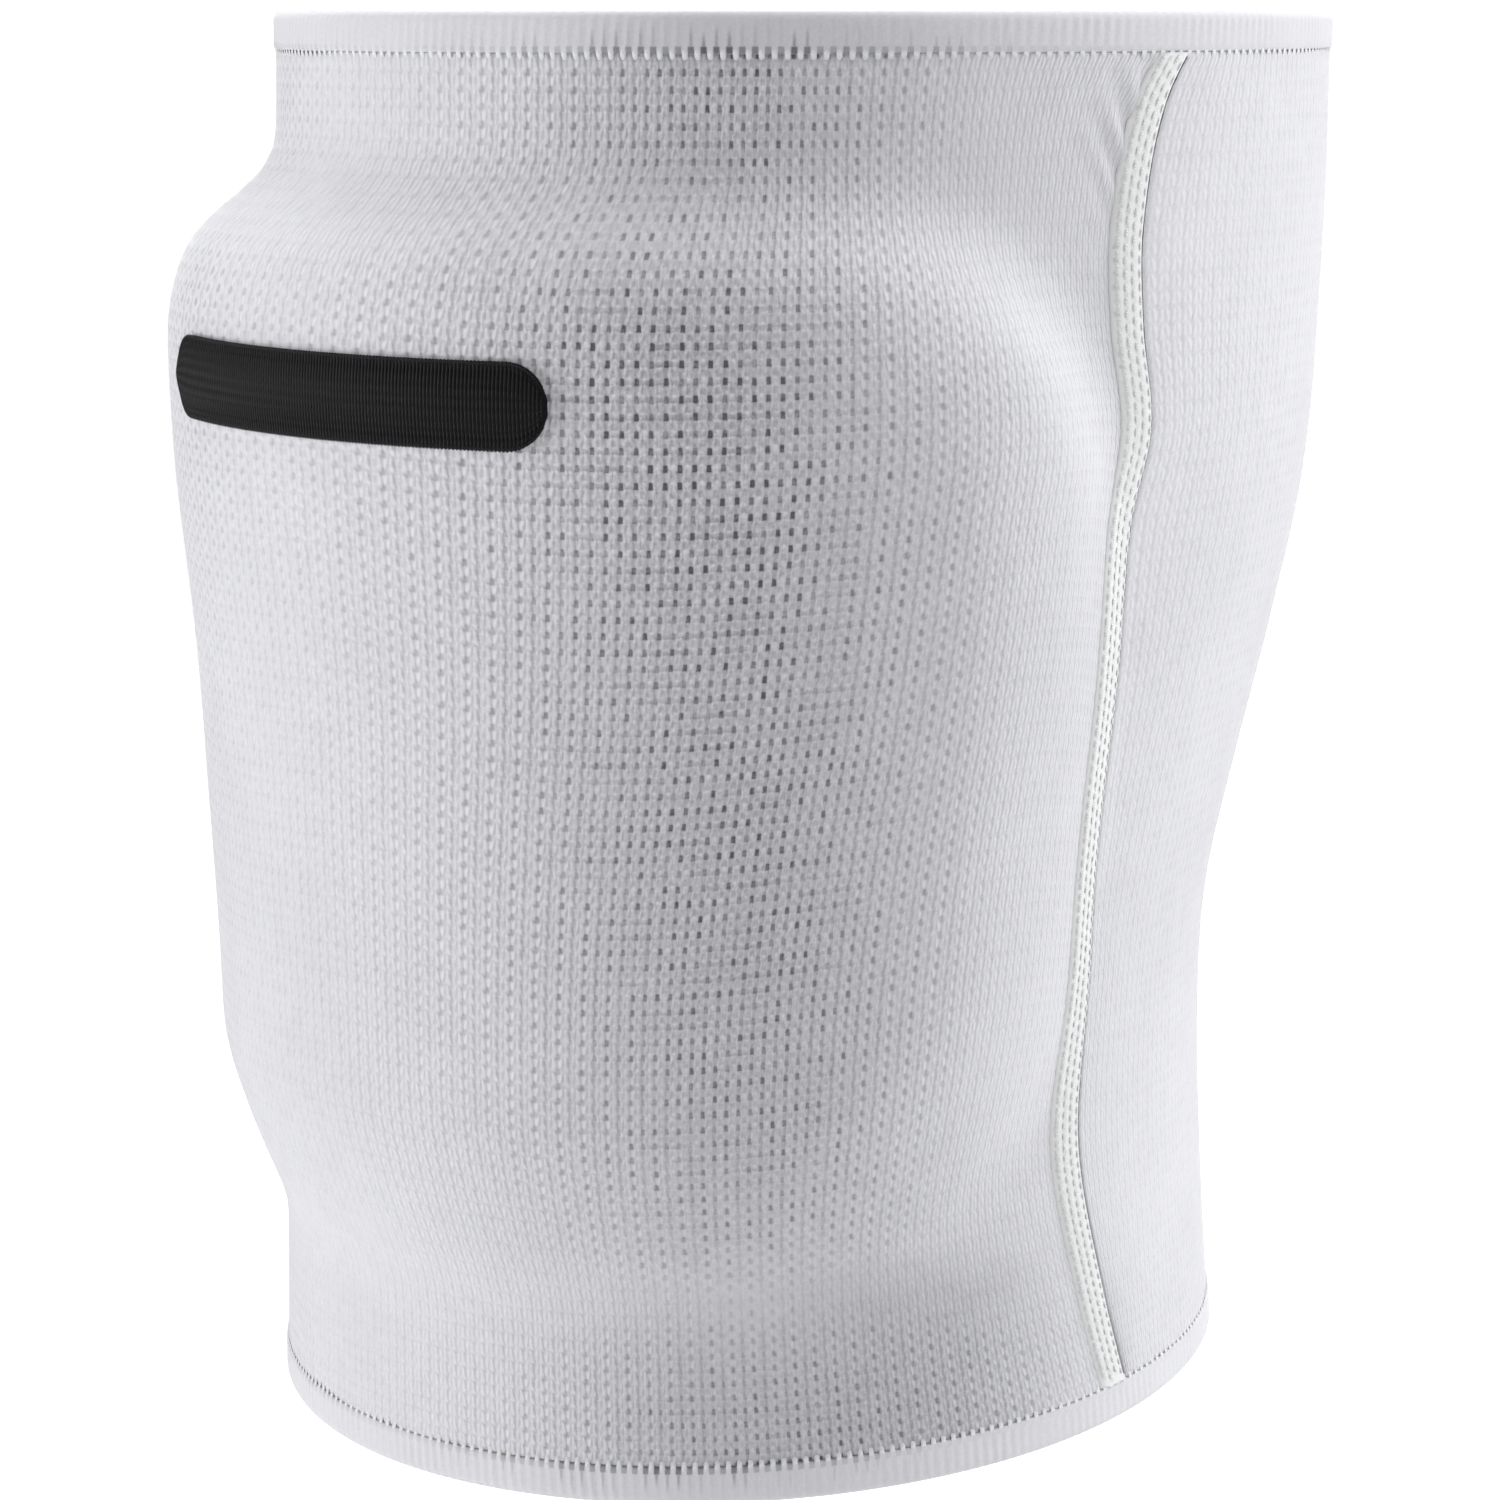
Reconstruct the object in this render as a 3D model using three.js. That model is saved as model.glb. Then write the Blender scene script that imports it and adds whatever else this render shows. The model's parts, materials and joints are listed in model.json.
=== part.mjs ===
// A knitted volleyball knee pad in the shape that it has on a leg.
// Two knit panels meet at a raised side seam on each side, and a folded welt finishes each end.
// A bevelled foam pad lies between the front panel and the leg, and pushes the panel out over it.
// The front faces -Y, +Z runs up the leg, and the origin is the middle of the knee.
// Lengths are in millimetres and angles in degrees.
import * as THREE from "three";

// Driving dimensions
const SLEEVE_LENGTH = 171;
const LEG_WIDTH = 129;
const LEG_DEPTH = 129;
const BOTTOM_SLOPE = 4.4;
const KNIT_WALL = 2;
const WELT_WALL = 2.5;
const WELT_HEIGHT = 4.6;
const SEAM_WIDTH = 4.8;
const SEAM_RISE = 0.9;
const PAD_THICKNESS = 14;
const PAD_WIDTH = 178;
const PAD_HEIGHT = 132;
const PAD_CENTRE = 4;
const PAD_BEVEL = 22;
const MARK_LENGTH = 68;
const MARK_HEIGHT = 10;
const MARK_THICKNESS = 0.8;
const MARK_CENTRE = 43;
const FIT_GAP = 0.3;
const FOAM_GAP = 0.9;
const MARK_GAP = 0.5;

// Shares and powers that shape the pieces
const PAD_CORNER = 4; // how square the pad's outline is: 2 would be a plain oval
const PAD_EDGE = 0.93; // where the foam itself stops, as a share of the pad's outline
const SEAM_SHOULDER = 0.35; // how low the seam's two edges lie, as a share of the knit wall
const SEAM_ROUNDNESS = 0.7; // how flat the seam's crown is: 1 would be a plain wave
const WELT_CHAMFER = 0.25; // the bevel at a welt's inner edge, as a share of the knit wall
const MARK_END = 0.97; // how fully the bar's ends close, which leaves their tips slightly blunt

// How finely each piece is divided
const ROWS = { plain: 2, bevel: 7, middle: 12 };
const FRONT_COLUMNS = { bevel: 7, middle: 14 };
const BACK_COLUMNS = 16;
const SEAM_COLUMNS = 4;
const WELT_SEGMENTS = 48;
const WELT_ROUNDING = 4;
const PAD_SEGMENTS = 48;
const PAD_RINGS = 9;
const MARK_COLUMNS = { end: 4, middle: 12 };
const MARK_ROWS = 2;

// The leg from the top hem, 0, to the bottom hem, 1.
// width and depth are shares of LEG_WIDTH and LEG_DEPTH, and back is how far the section's middle
// lies behind the knee's, as a share of LEG_DEPTH.
const LEG_SECTIONS = [
  { down: 0.0, width: 1.0, depth: 1.0, back: 0.05 },
  { down: 0.15, width: 1.0, depth: 1.0, back: 0.046 },
  { down: 0.33, width: 0.984, depth: 0.984, back: 0.036 },
  { down: 0.45, width: 0.952, depth: 0.952, back: 0.013 },
  { down: 0.55, width: 0.921, depth: 0.921, back: -0.012 },
  { down: 0.65, width: 0.89, depth: 0.89, back: -0.031 },
  { down: 0.75, width: 0.884, depth: 0.884, back: -0.036 },
  { down: 0.87, width: 0.891, depth: 0.891, back: -0.033 },
  { down: 1.0, width: 0.905, depth: 0.905, back: -0.027 },
];

// The angle of the side seam from the front: the pad draws it forward, and it drifts back below.
const SEAM_PATH = [
  { down: 0.0, angle: 88 },
  { down: 0.06, angle: 81.8 },
  { down: 0.14, angle: 79.2 },
  { down: 0.21, angle: 79.8 },
  { down: 0.28, angle: 81.7 },
  { down: 0.35, angle: 80.0 },
  { down: 0.44, angle: 81.8 },
  { down: 0.57, angle: 84.6 },
  { down: 0.67, angle: 87.4 },
  { down: 0.79, angle: 86.6 },
  { down: 0.9, angle: 90.3 },
  { down: 1.0, angle: 95 },
];

// The thickness that shows over the foam, from its top to its bottom, as a share of PAD_THICKNESS.
const PAD_CROWN = [
  { down: 0.0, lift: 0.96 },
  { down: 0.15, lift: 1.0 },
  { down: 0.3, lift: 0.96 },
  { down: 0.45, lift: 0.8 },
  { down: 0.58, lift: 0.68 },
  { down: 0.72, lift: 0.61 },
  { down: 0.85, lift: 0.56 },
  { down: 1.0, lift: 0.52 },
];

// The bevel round the foam, from its outline, 0, to where it ends, 1.
// The top edge stands up in an S, and the sides and the bottom are a plain slope.
const PAD_BEVEL_PROFILE = [
  { inside: 0.0, top: 0.0, plain: 0.0 },
  { inside: 0.14, top: 0.11, plain: 0.17 },
  { inside: 0.26, top: 0.34, plain: 0.32 },
  { inside: 0.38, top: 0.63, plain: 0.47 },
  { inside: 0.52, top: 0.8, plain: 0.62 },
  { inside: 0.75, top: 0.93, plain: 0.83 },
  { inside: 1.0, top: 1.0, plain: 1.0 },
];

const WHITE_KNIT = { color: 0xdcdce2, roughness: 0.92, metalness: 0 };
const WHITE_WELT = { color: 0xd6d6da, roughness: 0.9, metalness: 0 };
const WHITE_FOAM = { color: 0xe6e6e8, roughness: 0.95, metalness: 0 };
const BLACK_THREAD = { color: 0x17171a, roughness: 0.6, metalness: 0 };

const radians = THREE.MathUtils.degToRad;
const degrees = THREE.MathUtils.radToDeg;
const mix = THREE.MathUtils.lerp;
const within = THREE.MathUtils.clamp;

// Reads one column of a table at a place between its rows, on a smooth curve through them.
function readTable(table, key, column, place) {
  const last = table.length - 1;
  const at = within(place, table[0][key], table[last][key]);
  let row = 0;
  while (row < last - 1 && table[row + 1][key] < at) row += 1;
  const slopeAt = (i) => {
    const before = table[Math.max(i - 1, 0)];
    const after = table[Math.min(i + 1, last)];
    return (after[column] - before[column]) / (after[key] - before[key]);
  };
  const span = table[row + 1][key] - table[row][key];
  const t = (at - table[row][key]) / span;
  const start = table[row][column];
  const end = table[row + 1][column];
  const leave = slopeAt(row) * span;
  const arrive = slopeAt(row + 1) * span;
  return (
    start * (1 + 2 * t) * (1 - t) ** 2 +
    leave * t * (1 - t) ** 2 +
    end * t ** 2 * (3 - 2 * t) +
    arrive * t ** 2 * (t - 1)
  );
}

function legSection(down) {
  return {
    halfWidth: (readTable(LEG_SECTIONS, "down", "width", down) * LEG_WIDTH) / 2,
    halfDepth: (readTable(LEG_SECTIONS, "down", "depth", down) * LEG_DEPTH) / 2,
    back: readTable(LEG_SECTIONS, "down", "back", down) * LEG_DEPTH,
  };
}

// A point of the sleeve: angle is from the front towards +X, down goes from the top hem to the
// bottom one, and offset is the distance outside the leg.
function sleevePoint(angle, down, offset) {
  const leg = legSection(down);
  const bottomLeg = legSection(1);
  const sin = Math.sin(radians(angle));
  const cos = Math.cos(radians(angle));
  const bottom = -SLEEVE_LENGTH / 2 - Math.tan(radians(BOTTOM_SLOPE)) * bottomLeg.halfDepth * cos;
  return new THREE.Vector3(
    (leg.halfWidth + offset) * sin,
    leg.back - (leg.halfDepth + offset) * cos,
    mix(SLEEVE_LENGTH / 2, bottom, down),
  );
}

const seamAngle = (down) => readTable(SEAM_PATH, "down", "angle", down);
const arcAngle = (length, down) => degrees(length / legSection(down).halfWidth);
const downAt = (height) => 0.5 - height / SLEEVE_LENGTH;

const padTop = downAt(PAD_CENTRE + PAD_HEIGHT / 2);
const padBottom = downAt(PAD_CENTRE - PAD_HEIGHT / 2);

// How far the foam lifts the knit off the leg. The pad's outline is a squarish oval on the leg's
// surface, and the bevel is equally wide all round it.
function padLift(angle, down) {
  const turn = THREE.MathUtils.euclideanModulo(angle + 180, 360) - 180;
  const p = Math.abs(turn) / arcAngle(PAD_WIDTH / 2, down);
  const q = (2 * (down - padTop)) / (padBottom - padTop) - 1;
  const oval = (p ** PAD_CORNER + Math.abs(q) ** PAD_CORNER) ** (1 / PAD_CORNER);
  if (oval >= 1) return 0;
  const steepness = Math.hypot(
    (p / oval) ** (PAD_CORNER - 1) / (PAD_WIDTH / 2),
    (Math.abs(q) / oval) ** (PAD_CORNER - 1) / (PAD_HEIGHT / 2),
  );
  const inside = oval > 0 ? within((1 - oval) / steepness / PAD_BEVEL, 0, 1) : 1;
  const plain = oval > 0 ? within(1 + q / oval, 0, 1) : 1;
  const rise = mix(
    readTable(PAD_BEVEL_PROFILE, "inside", "top", inside),
    readTable(PAD_BEVEL_PROFILE, "inside", "plain", inside),
    plain,
  );
  const alongPad = (down - padTop) / (padBottom - padTop);
  return PAD_THICKNESS * readTable(PAD_CROWN, "down", "lift", alongPad) * rise;
}

// Lines of a grid: each stretch from a station to the next is cut into its number of parts.
function gridLines(stations, end) {
  const lines = [];
  stations.forEach((station, i) => {
    const next = i + 1 < stations.length ? stations[i + 1].at : end;
    for (let k = 0; k < station.parts; k += 1) {
      lines.push(mix(station.at, next, k / station.parts));
    }
  });
  return [...lines, end];
}

const panelTop = (WELT_HEIGHT + FIT_GAP) / SLEEVE_LENGTH;
const panelBottom = 1 - panelTop;
const bevelDown = PAD_BEVEL / SLEEVE_LENGTH;
const bevelAcross = PAD_BEVEL / (PAD_WIDTH / 2);

// Rows of the panels and seams, and columns of the front panel, closer together over the bevel.
const rowsDown = gridLines(
  [
    { at: panelTop, parts: ROWS.plain },
    { at: padTop, parts: ROWS.bevel },
    { at: padTop + bevelDown, parts: ROWS.middle },
    { at: padBottom - bevelDown, parts: ROWS.bevel },
    { at: padBottom, parts: ROWS.plain },
  ],
  panelBottom,
);
const frontColumns = gridLines(
  [
    { at: -1, parts: FRONT_COLUMNS.bevel },
    { at: bevelAcross - 1, parts: FRONT_COLUMNS.middle },
    { at: 1 - bevelAcross, parts: FRONT_COLUMNS.bevel },
  ],
  1,
);
const backColumns = gridLines([{ at: -1, parts: BACK_COLUMNS }], 1);
const seamColumns = gridLines([{ at: -1, parts: SEAM_COLUMNS }], 1);

// Moves every vertex of a geometry to where place puts it.
function bend(geometry, place) {
  const position = geometry.getAttribute("position");
  const from = new THREE.Vector3();
  for (let i = 0; i < position.count; i += 1) {
    const to = place(from.fromBufferAttribute(position, i));
    position.setXYZ(i, to.x, to.y, to.z);
  }
  geometry.computeVertexNormals();
  return geometry;
}

// A flat box bent round the sleeve. Its lines across and down are those of the two lists, and
// through runs from 0 on the leg's side to 1 outside.
function bentStrip(columns, rows, place) {
  const across = columns.length - 1;
  const down = rows.length - 1;
  const box = new THREE.BoxGeometry(across, down, 1, across, down, 1);
  return bend(box, (v) => {
    const column = columns[Math.round(v.x + across / 2)];
    const row = rows[Math.round(down / 2 - v.y)];
    return place(column, row, v.z + 0.5);
  });
}

// A point of the knit, over the leg and the foam.
const knitPoint = (angle, down, offset) => sleevePoint(angle, down, padLift(angle, down) + offset);

function frontPanelGeometry() {
  return bentStrip(frontColumns, rowsDown, (across, down, through) => {
    const reach = seamAngle(down) - arcAngle(SEAM_WIDTH / 2 + FIT_GAP, down);
    return knitPoint(across * reach, down, through * KNIT_WALL);
  });
}

function backPanelGeometry() {
  return bentStrip(backColumns, rowsDown, (across, down, through) => {
    const reach = 180 - seamAngle(down) - arcAngle(SEAM_WIDTH / 2 + FIT_GAP, down);
    return knitPoint(180 + across * reach, down, through * KNIT_WALL);
  });
}

function sideSeamGeometry(side) {
  return bentStrip(seamColumns, rowsDown, (across, down, through) => {
    const crown = Math.cos((across * Math.PI) / 2) ** SEAM_ROUNDNESS;
    const top = KNIT_WALL * mix(1 - SEAM_SHOULDER, 1, crown) + SEAM_RISE * crown;
    const angle = side * seamAngle(down) + across * arcAngle(SEAM_WIDTH / 2, down);
    return knitPoint(angle, down, through * top);
  });
}

// The outline of a welt, folded over at its free edge: x is the offset from the leg and y the
// distance in from that edge. It closes on itself.
function weltOutline() {
  const round = WELT_WALL / 2;
  const chamfer = WELT_CHAMFER * KNIT_WALL;
  const points = [new THREE.Vector2(0, WELT_HEIGHT)];
  for (let i = 0; i <= WELT_ROUNDING; i += 1) {
    const turn = (Math.PI * i) / WELT_ROUNDING;
    points.push(
      new THREE.Vector2(round - round * Math.cos(turn), round - round * Math.sin(turn)),
    );
  }
  points.push(new THREE.Vector2(WELT_WALL, WELT_HEIGHT - chamfer));
  points.push(new THREE.Vector2(WELT_WALL - chamfer, WELT_HEIGHT));
  points.push(points[0].clone());
  return points;
}

// A welt is its outline turned round the sleeve; atTop says which end of the sleeve it finishes.
function weltGeometry(atTop) {
  const sign = atTop ? -1 : 1;
  const nominal = LEG_WIDTH / 2;
  const outline = weltOutline().map((p) => new THREE.Vector2(nominal + p.x, sign * p.y));
  const ring = new THREE.LatheGeometry(atTop ? outline.reverse() : outline, WELT_SEGMENTS);
  return bend(ring, (v) => {
    const angle = degrees(Math.atan2(v.x, v.z));
    const inward = Math.abs(v.y) / SLEEVE_LENGTH;
    const offset = Math.hypot(v.x, v.z) - nominal;
    return sleevePoint(angle, atTop ? inward : 1 - inward, offset);
  });
}

// The foam is a round disc, stretched to the pad's outline and laid on the leg.
function foamPadGeometry() {
  const ring = (i) => PAD_EDGE * Math.sin((Math.PI / 2) * (i / PAD_RINGS));
  const profile = [];
  for (let i = 0; i <= PAD_RINGS; i += 1) profile.push(new THREE.Vector2(ring(i), 0));
  for (let i = PAD_RINGS; i >= 0; i -= 1) profile.push(new THREE.Vector2(ring(i), 1));
  return bend(new THREE.LatheGeometry(profile, PAD_SEGMENTS), (v) => {
    const radius = Math.hypot(v.x, v.z);
    const norm = (Math.abs(v.x) ** PAD_CORNER + Math.abs(v.z) ** PAD_CORNER) ** (1 / PAD_CORNER);
    const stretch = norm > 0 ? radius / norm : 1;
    const down = mix(padTop, padBottom, (1 - v.x * stretch) / 2);
    const angle = v.z * stretch * arcAngle(PAD_WIDTH / 2, down);
    return sleevePoint(angle, down, v.y * (padLift(angle, down) - FOAM_GAP));
  });
}

// A plain embroidered bar with round ends, raised on the front panel.
function markGeometry() {
  const end = MARK_LENGTH / 2;
  const round = MARK_HEIGHT / 2;
  const columns = gridLines(
    [
      { at: -end, parts: MARK_COLUMNS.end },
      { at: round - end, parts: MARK_COLUMNS.middle },
      { at: end - round, parts: MARK_COLUMNS.end },
    ],
    end,
  );
  const rows = gridLines([{ at: 1, parts: MARK_ROWS }], -1);
  return bentStrip(columns, rows, (along, up, through) => {
    const past = Math.max(0, Math.abs(along) - (end - round)) / round;
    const half = round * Math.sqrt(1 - MARK_END * past ** 2);
    const down = downAt(MARK_CENTRE + up * half);
    const radius = legSection(down).halfDepth + padLift(0, down) + KNIT_WALL;
    const angle = degrees(along / radius);
    return knitPoint(angle, down, KNIT_WALL + MARK_GAP + through * MARK_THICKNESS);
  });
}

function piece(name, geometry, finish) {
  const mesh = new THREE.Mesh(geometry, new THREE.MeshStandardMaterial(finish));
  mesh.name = name;
  return mesh;
}

const kneePad = new THREE.Group();
kneePad.add(piece("front_panel", frontPanelGeometry(), WHITE_KNIT));
kneePad.add(piece("back_panel", backPanelGeometry(), WHITE_KNIT));
kneePad.add(piece("side_seam_left", sideSeamGeometry(-1), WHITE_WELT));
kneePad.add(piece("side_seam_right", sideSeamGeometry(1), WHITE_WELT));
kneePad.add(piece("top_welt", weltGeometry(true), WHITE_WELT));
kneePad.add(piece("bottom_welt", weltGeometry(false), WHITE_WELT));
kneePad.add(piece("foam_pad", foamPadGeometry(), WHITE_FOAM));
kneePad.add(piece("embroidered_bar", markGeometry(), BLACK_THREAD));

export default kneePad;
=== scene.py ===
# %% [markdown]
# A volleyball knee pad, dressed for its picture.
# The real thing is a knitted sleeve with a foam cushion over the knee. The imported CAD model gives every
# piece its place and size. This script puts cloth, stitches and thread where the plain solids are.
# Each step below says what the piece is on the real object, how it could be made, and why this way was
# chosen.

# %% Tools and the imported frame
import json
import math
import bmesh
import bpy
import numpy as np
from mathutils import Matrix, Vector
from mathutils.bvhtree import BVHTree

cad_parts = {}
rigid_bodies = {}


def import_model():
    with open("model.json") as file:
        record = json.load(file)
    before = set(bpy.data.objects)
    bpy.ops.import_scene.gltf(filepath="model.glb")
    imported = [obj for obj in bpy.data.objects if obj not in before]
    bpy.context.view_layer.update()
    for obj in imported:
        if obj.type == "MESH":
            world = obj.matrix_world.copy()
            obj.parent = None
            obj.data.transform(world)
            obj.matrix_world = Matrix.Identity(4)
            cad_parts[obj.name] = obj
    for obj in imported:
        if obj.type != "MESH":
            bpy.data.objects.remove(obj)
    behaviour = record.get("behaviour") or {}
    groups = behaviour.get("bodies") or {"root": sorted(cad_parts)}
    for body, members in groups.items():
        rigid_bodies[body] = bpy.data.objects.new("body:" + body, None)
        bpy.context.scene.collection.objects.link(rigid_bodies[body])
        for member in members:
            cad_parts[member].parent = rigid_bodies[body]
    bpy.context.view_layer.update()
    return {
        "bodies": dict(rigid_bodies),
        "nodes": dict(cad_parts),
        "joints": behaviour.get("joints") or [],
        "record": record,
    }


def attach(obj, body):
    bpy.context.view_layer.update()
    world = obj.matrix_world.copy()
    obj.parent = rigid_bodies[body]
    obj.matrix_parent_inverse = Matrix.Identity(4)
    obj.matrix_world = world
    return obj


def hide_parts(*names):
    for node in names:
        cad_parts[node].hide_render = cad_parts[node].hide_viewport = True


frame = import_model()
print("CAD nodes:", ", ".join(sorted(frame["nodes"])))

# %% [markdown]
# The camera comes first, because every later choice is judged through it.
# It looks at the knee pad from halfway between its front and its right side, from a little above the top
# hem, with a long lens. The real picture has the pad slightly right of the middle, which a small shift
# gives.

# %% The camera
MM = 0.001
TURN = math.radians(45)
DISTANCE = 546.7 * MM
EYE_HEIGHT = 85.5 * MM
LOOK_DOWN = math.radians(9.8)
FOCAL_SHARE = 4278 / 1500
RIGHT_OF_MIDDLE = 17 / 1500
SENSOR = 36

camera_data = bpy.data.cameras.new("camera")
camera_data.sensor_width = SENSOR
camera_data.lens = SENSOR * FOCAL_SHARE
camera_data.shift_x = -RIGHT_OF_MIDDLE
camera = bpy.data.objects.new("camera", camera_data)
camera.location = (DISTANCE * math.sin(TURN), -DISTANCE * math.cos(TURN), EYE_HEIGHT)
camera.rotation_euler = (math.pi / 2 - LOOK_DOWN, 0, TURN)
bpy.context.scene.collection.objects.link(camera)
bpy.context.scene.camera = camera
print("lens", round(camera_data.lens, 1), "mm")

# %% [markdown]
# Node trees are long to write out, so two small helpers build them.
# add() makes any node and feeds its inputs in order. A socket is joined to it, and a number is typed in.
# maths() is the same for a Math node, which is the one used most.

# %% Helpers for node trees
def feed(tree, socket, value):
    """Joins a socket to the value, or types the value into it."""
    if isinstance(value, bpy.types.NodeSocket):
        tree.links.new(value, socket)
    elif value is not None:
        socket.default_value = value


def add(tree, kind, *values, **settings):
    """Makes a node, sets it up, feeds its inputs in order and gives back the node."""
    node = tree.nodes.new(kind)
    for name, setting in settings.items():
        setattr(node, name, setting)
    for socket, value in zip(node.inputs, values):
        feed(tree, socket, value)
    return node


def maths(tree, operation, *values):
    """One Math node's result."""
    return add(tree, "ShaderNodeMath", *values, operation=operation).outputs[0]


def ramp(tree, value, low, high, start=0.0, end=1.0):
    """Turns low..high smoothly into start..end."""
    node = add(tree, "ShaderNodeMapRange", value, low, high, start, end, interpolation_type="SMOOTHSTEP")
    return node.outputs[0]


def blend_colours(tree, share, first, second):
    """The first colour where share is 0, and the second where it is 1."""
    node = add(tree, "ShaderNodeMix", data_type="RGBA")
    for name, value in (("Factor_Float", share), ("A_Color", first), ("B_Color", second)):
        feed(tree, next(s for s in node.inputs if s.identifier == name), value)
    return next(s for s in node.outputs if s.identifier == "Result_Color")


print("node helpers ready")

# %% [markdown]
# Several finishes share an effect, so each effect is a node group that is built once.
# The knit group draws stitches. Its input is a map that counts stitches: a whole number is one stitch
# across or one row down. In every stitch it finds the open hole, the two slanted legs of the loop, and
# a tone of its own. Where the cloth is only a little open, every other column stands half a row lower,
# which reads as a fine diagonal.
# A picture of knitting would do this too, but it blurs close up and repeats, and nodes do neither.

# %% The knit group
MARK_DARK = 0.13
MARK_LIGHT = 0.07


def new_group(name, inputs, outputs):
    """An empty node group with named sockets, and its two end nodes."""
    group = bpy.data.node_groups.new(name, "ShaderNodeTree")
    for title, kind, value in inputs:
        socket = group.interface.new_socket(title, in_out="INPUT", socket_type=kind)
        if value is not None:
            socket.default_value = value
    for title in outputs:
        group.interface.new_socket(title, in_out="OUTPUT", socket_type="NodeSocketFloat")
    return group, group.nodes.new("NodeGroupInput"), group.nodes.new("NodeGroupOutput")


knit, knit_in, knit_out = new_group(
    "knit stitches",
    [("Stitches", "NodeSocketVector", None), ("Openness", "NodeSocketFloat", 1.0),
     ("Wobble", "NodeSocketFloat", 0.16)],
    ["Hole", "Height", "Tone"],
)
wander = add(knit, "ShaderNodeTexNoise", knit_in.outputs["Stitches"], noise_dimensions="2D")
wander.inputs["Scale"].default_value = 0.55
wander.inputs["Detail"].default_value = 2
centred = add(knit, "ShaderNodeVectorMath", wander.outputs["Color"], (0.5, 0.5, 0.5), operation="SUBTRACT")
moved = add(knit, "ShaderNodeVectorMath", centred.outputs[0], operation="SCALE")
feed(knit, moved.inputs["Scale"], knit_in.outputs["Wobble"])
place = add(knit, "ShaderNodeVectorMath", knit_in.outputs["Stitches"], moved.outputs[0], operation="ADD")
across, down, _ = add(knit, "ShaderNodeSeparateXYZ", place.outputs[0]).outputs


def from_whole(tree, value):
    """How far a number lies from the nearest whole one, from -0.5 to 0.5."""
    shifted = maths(tree, "FRACT", maths(tree, "ADD", value, 0.5))
    return maths(tree, "SUBTRACT", shifted, 0.5)


def strip(tree, distance, width, softness=0.35):
    """1 within a width of the middle and 0 outside it, with a soft edge."""
    away = maths(tree, "ABSOLUTE", distance)
    return ramp(tree, away, width * (1 - softness), width * (1 + softness), 1.0, 0.0)


whole_x = from_whole(knit, across)
whole_y = from_whole(knit, down)
half_x = from_whole(knit, maths(knit, "ADD", across, 0.5))
half_y = from_whole(knit, maths(knit, "ADD", down, 0.5))
cell = add(knit, "ShaderNodeCombineXYZ", maths(knit, "ROUND", across), maths(knit, "ROUND", down), 0.0)
chance = add(knit, "ShaderNodeTexWhiteNoise", cell.outputs[0], noise_dimensions="2D").outputs["Value"]
patches = add(knit, "ShaderNodeTexNoise", knit_in.outputs["Stitches"], noise_dimensions="2D")
patches.inputs["Scale"].default_value = 0.23
patches.inputs["Detail"].default_value = 3
slack = ramp(knit, patches.outputs[0], 0.36, 0.6)
opening = maths(knit, "MULTIPLY", strip(knit, whole_x, 0.16, 0.45), strip(knit, whole_y, 0.22, 0.3))
opening = maths(knit, "MULTIPLY", opening, ramp(knit, chance, 0.0, 0.9, 0.55, 0.95))
opening = maths(knit, "MULTIPLY", opening, maths(knit, "MULTIPLY_ADD", slack, 0.15, 0.85))
column = maths(knit, "MULTIPLY", strip(knit, whole_x, 0.10, 0.7), 0.2)
dash_strength = maths(knit, "MULTIPLY_ADD", slack, -0.22, 0.3)
dash = maths(knit, "MULTIPLY", strip(knit, whole_y, 0.14, 0.6), dash_strength)
between = maths(knit, "MULTIPLY", strip(knit, half_x, 0.09, 0.5), strip(knit, half_y, 0.2, 0.5))
between = maths(knit, "MULTIPLY", between, 0.26)
# Painted highlight on the yarn beside each hole, and an even painted shade on the rest of the stitch.
painted_highlight = maths(knit, "MULTIPLY", strip(knit, half_x, 0.2, 0.5), strip(knit, whole_y, 0.3, 0.4))
painted_ground_shade = maths(knit, "MULTIPLY_ADD", painted_highlight, -0.15, 0.15)
mottle = add(knit, "ShaderNodeTexNoise", knit_in.outputs["Stitches"], noise_dimensions="2D")
mottle.inputs["Scale"].default_value = 2.6
mottle.inputs["Detail"].default_value = 2
uneven = ramp(knit, mottle.outputs[0], 0.3, 0.7, -0.1, 0.12)
hole = maths(knit, "MAXIMUM", maths(knit, "MAXIMUM", opening, column), maths(knit, "MAXIMUM", dash, between))
hole = maths(knit, "ADD", maths(knit, "MAXIMUM", hole, painted_ground_shade), uneven)
hole = maths(knit, "MULTIPLY", hole, knit_in.outputs["Openness"])
quarter_turns = maths(knit, "MULTIPLY", maths(knit, "ROUND", across), math.pi / 2)
odd = maths(knit, "ABSOLUTE", maths(knit, "SINE", quarter_turns))
stagger = maths(knit, "MULTIPLY_ADD", odd, 0.5, down)
near_middle = strip(knit, whole_x, 0.3, 0.5)
dark_mark = strip(knit, from_whole(knit, stagger), 0.2, 0.5)
light_mark = strip(knit, from_whole(knit, maths(knit, "ADD", stagger, 0.5)), 0.2, 0.5)
darker = maths(knit, "MULTIPLY", dark_mark, MARK_DARK)
mark = maths(knit, "SUBTRACT", darker, maths(knit, "MULTIPLY", light_mark, MARK_LIGHT))
snug = ramp(knit, knit_in.outputs["Openness"], 0.12, 0.26)
snug = maths(knit, "MULTIPLY", snug, ramp(knit, knit_in.outputs["Openness"], 0.4, 0.85, 1.0, 0.0))
mark = maths(knit, "MULTIPLY", maths(knit, "MULTIPLY", mark, near_middle), snug)
hole = maths(knit, "ADD", hole, mark)
slant = maths(knit, "MULTIPLY", half_y, 0.2)
leg_place = maths(knit, "SUBTRACT", maths(knit, "SUBTRACT", maths(knit, "ABSOLUTE", half_x), 0.25), slant)
leg = ramp(knit, maths(knit, "ABSOLUTE", leg_place), 0.0, 0.27, 1.0, 0.0)
row_dip = ramp(knit, maths(knit, "ABSOLUTE", whole_y), 0.0, 0.25, 0.6, 0.0)
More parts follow.
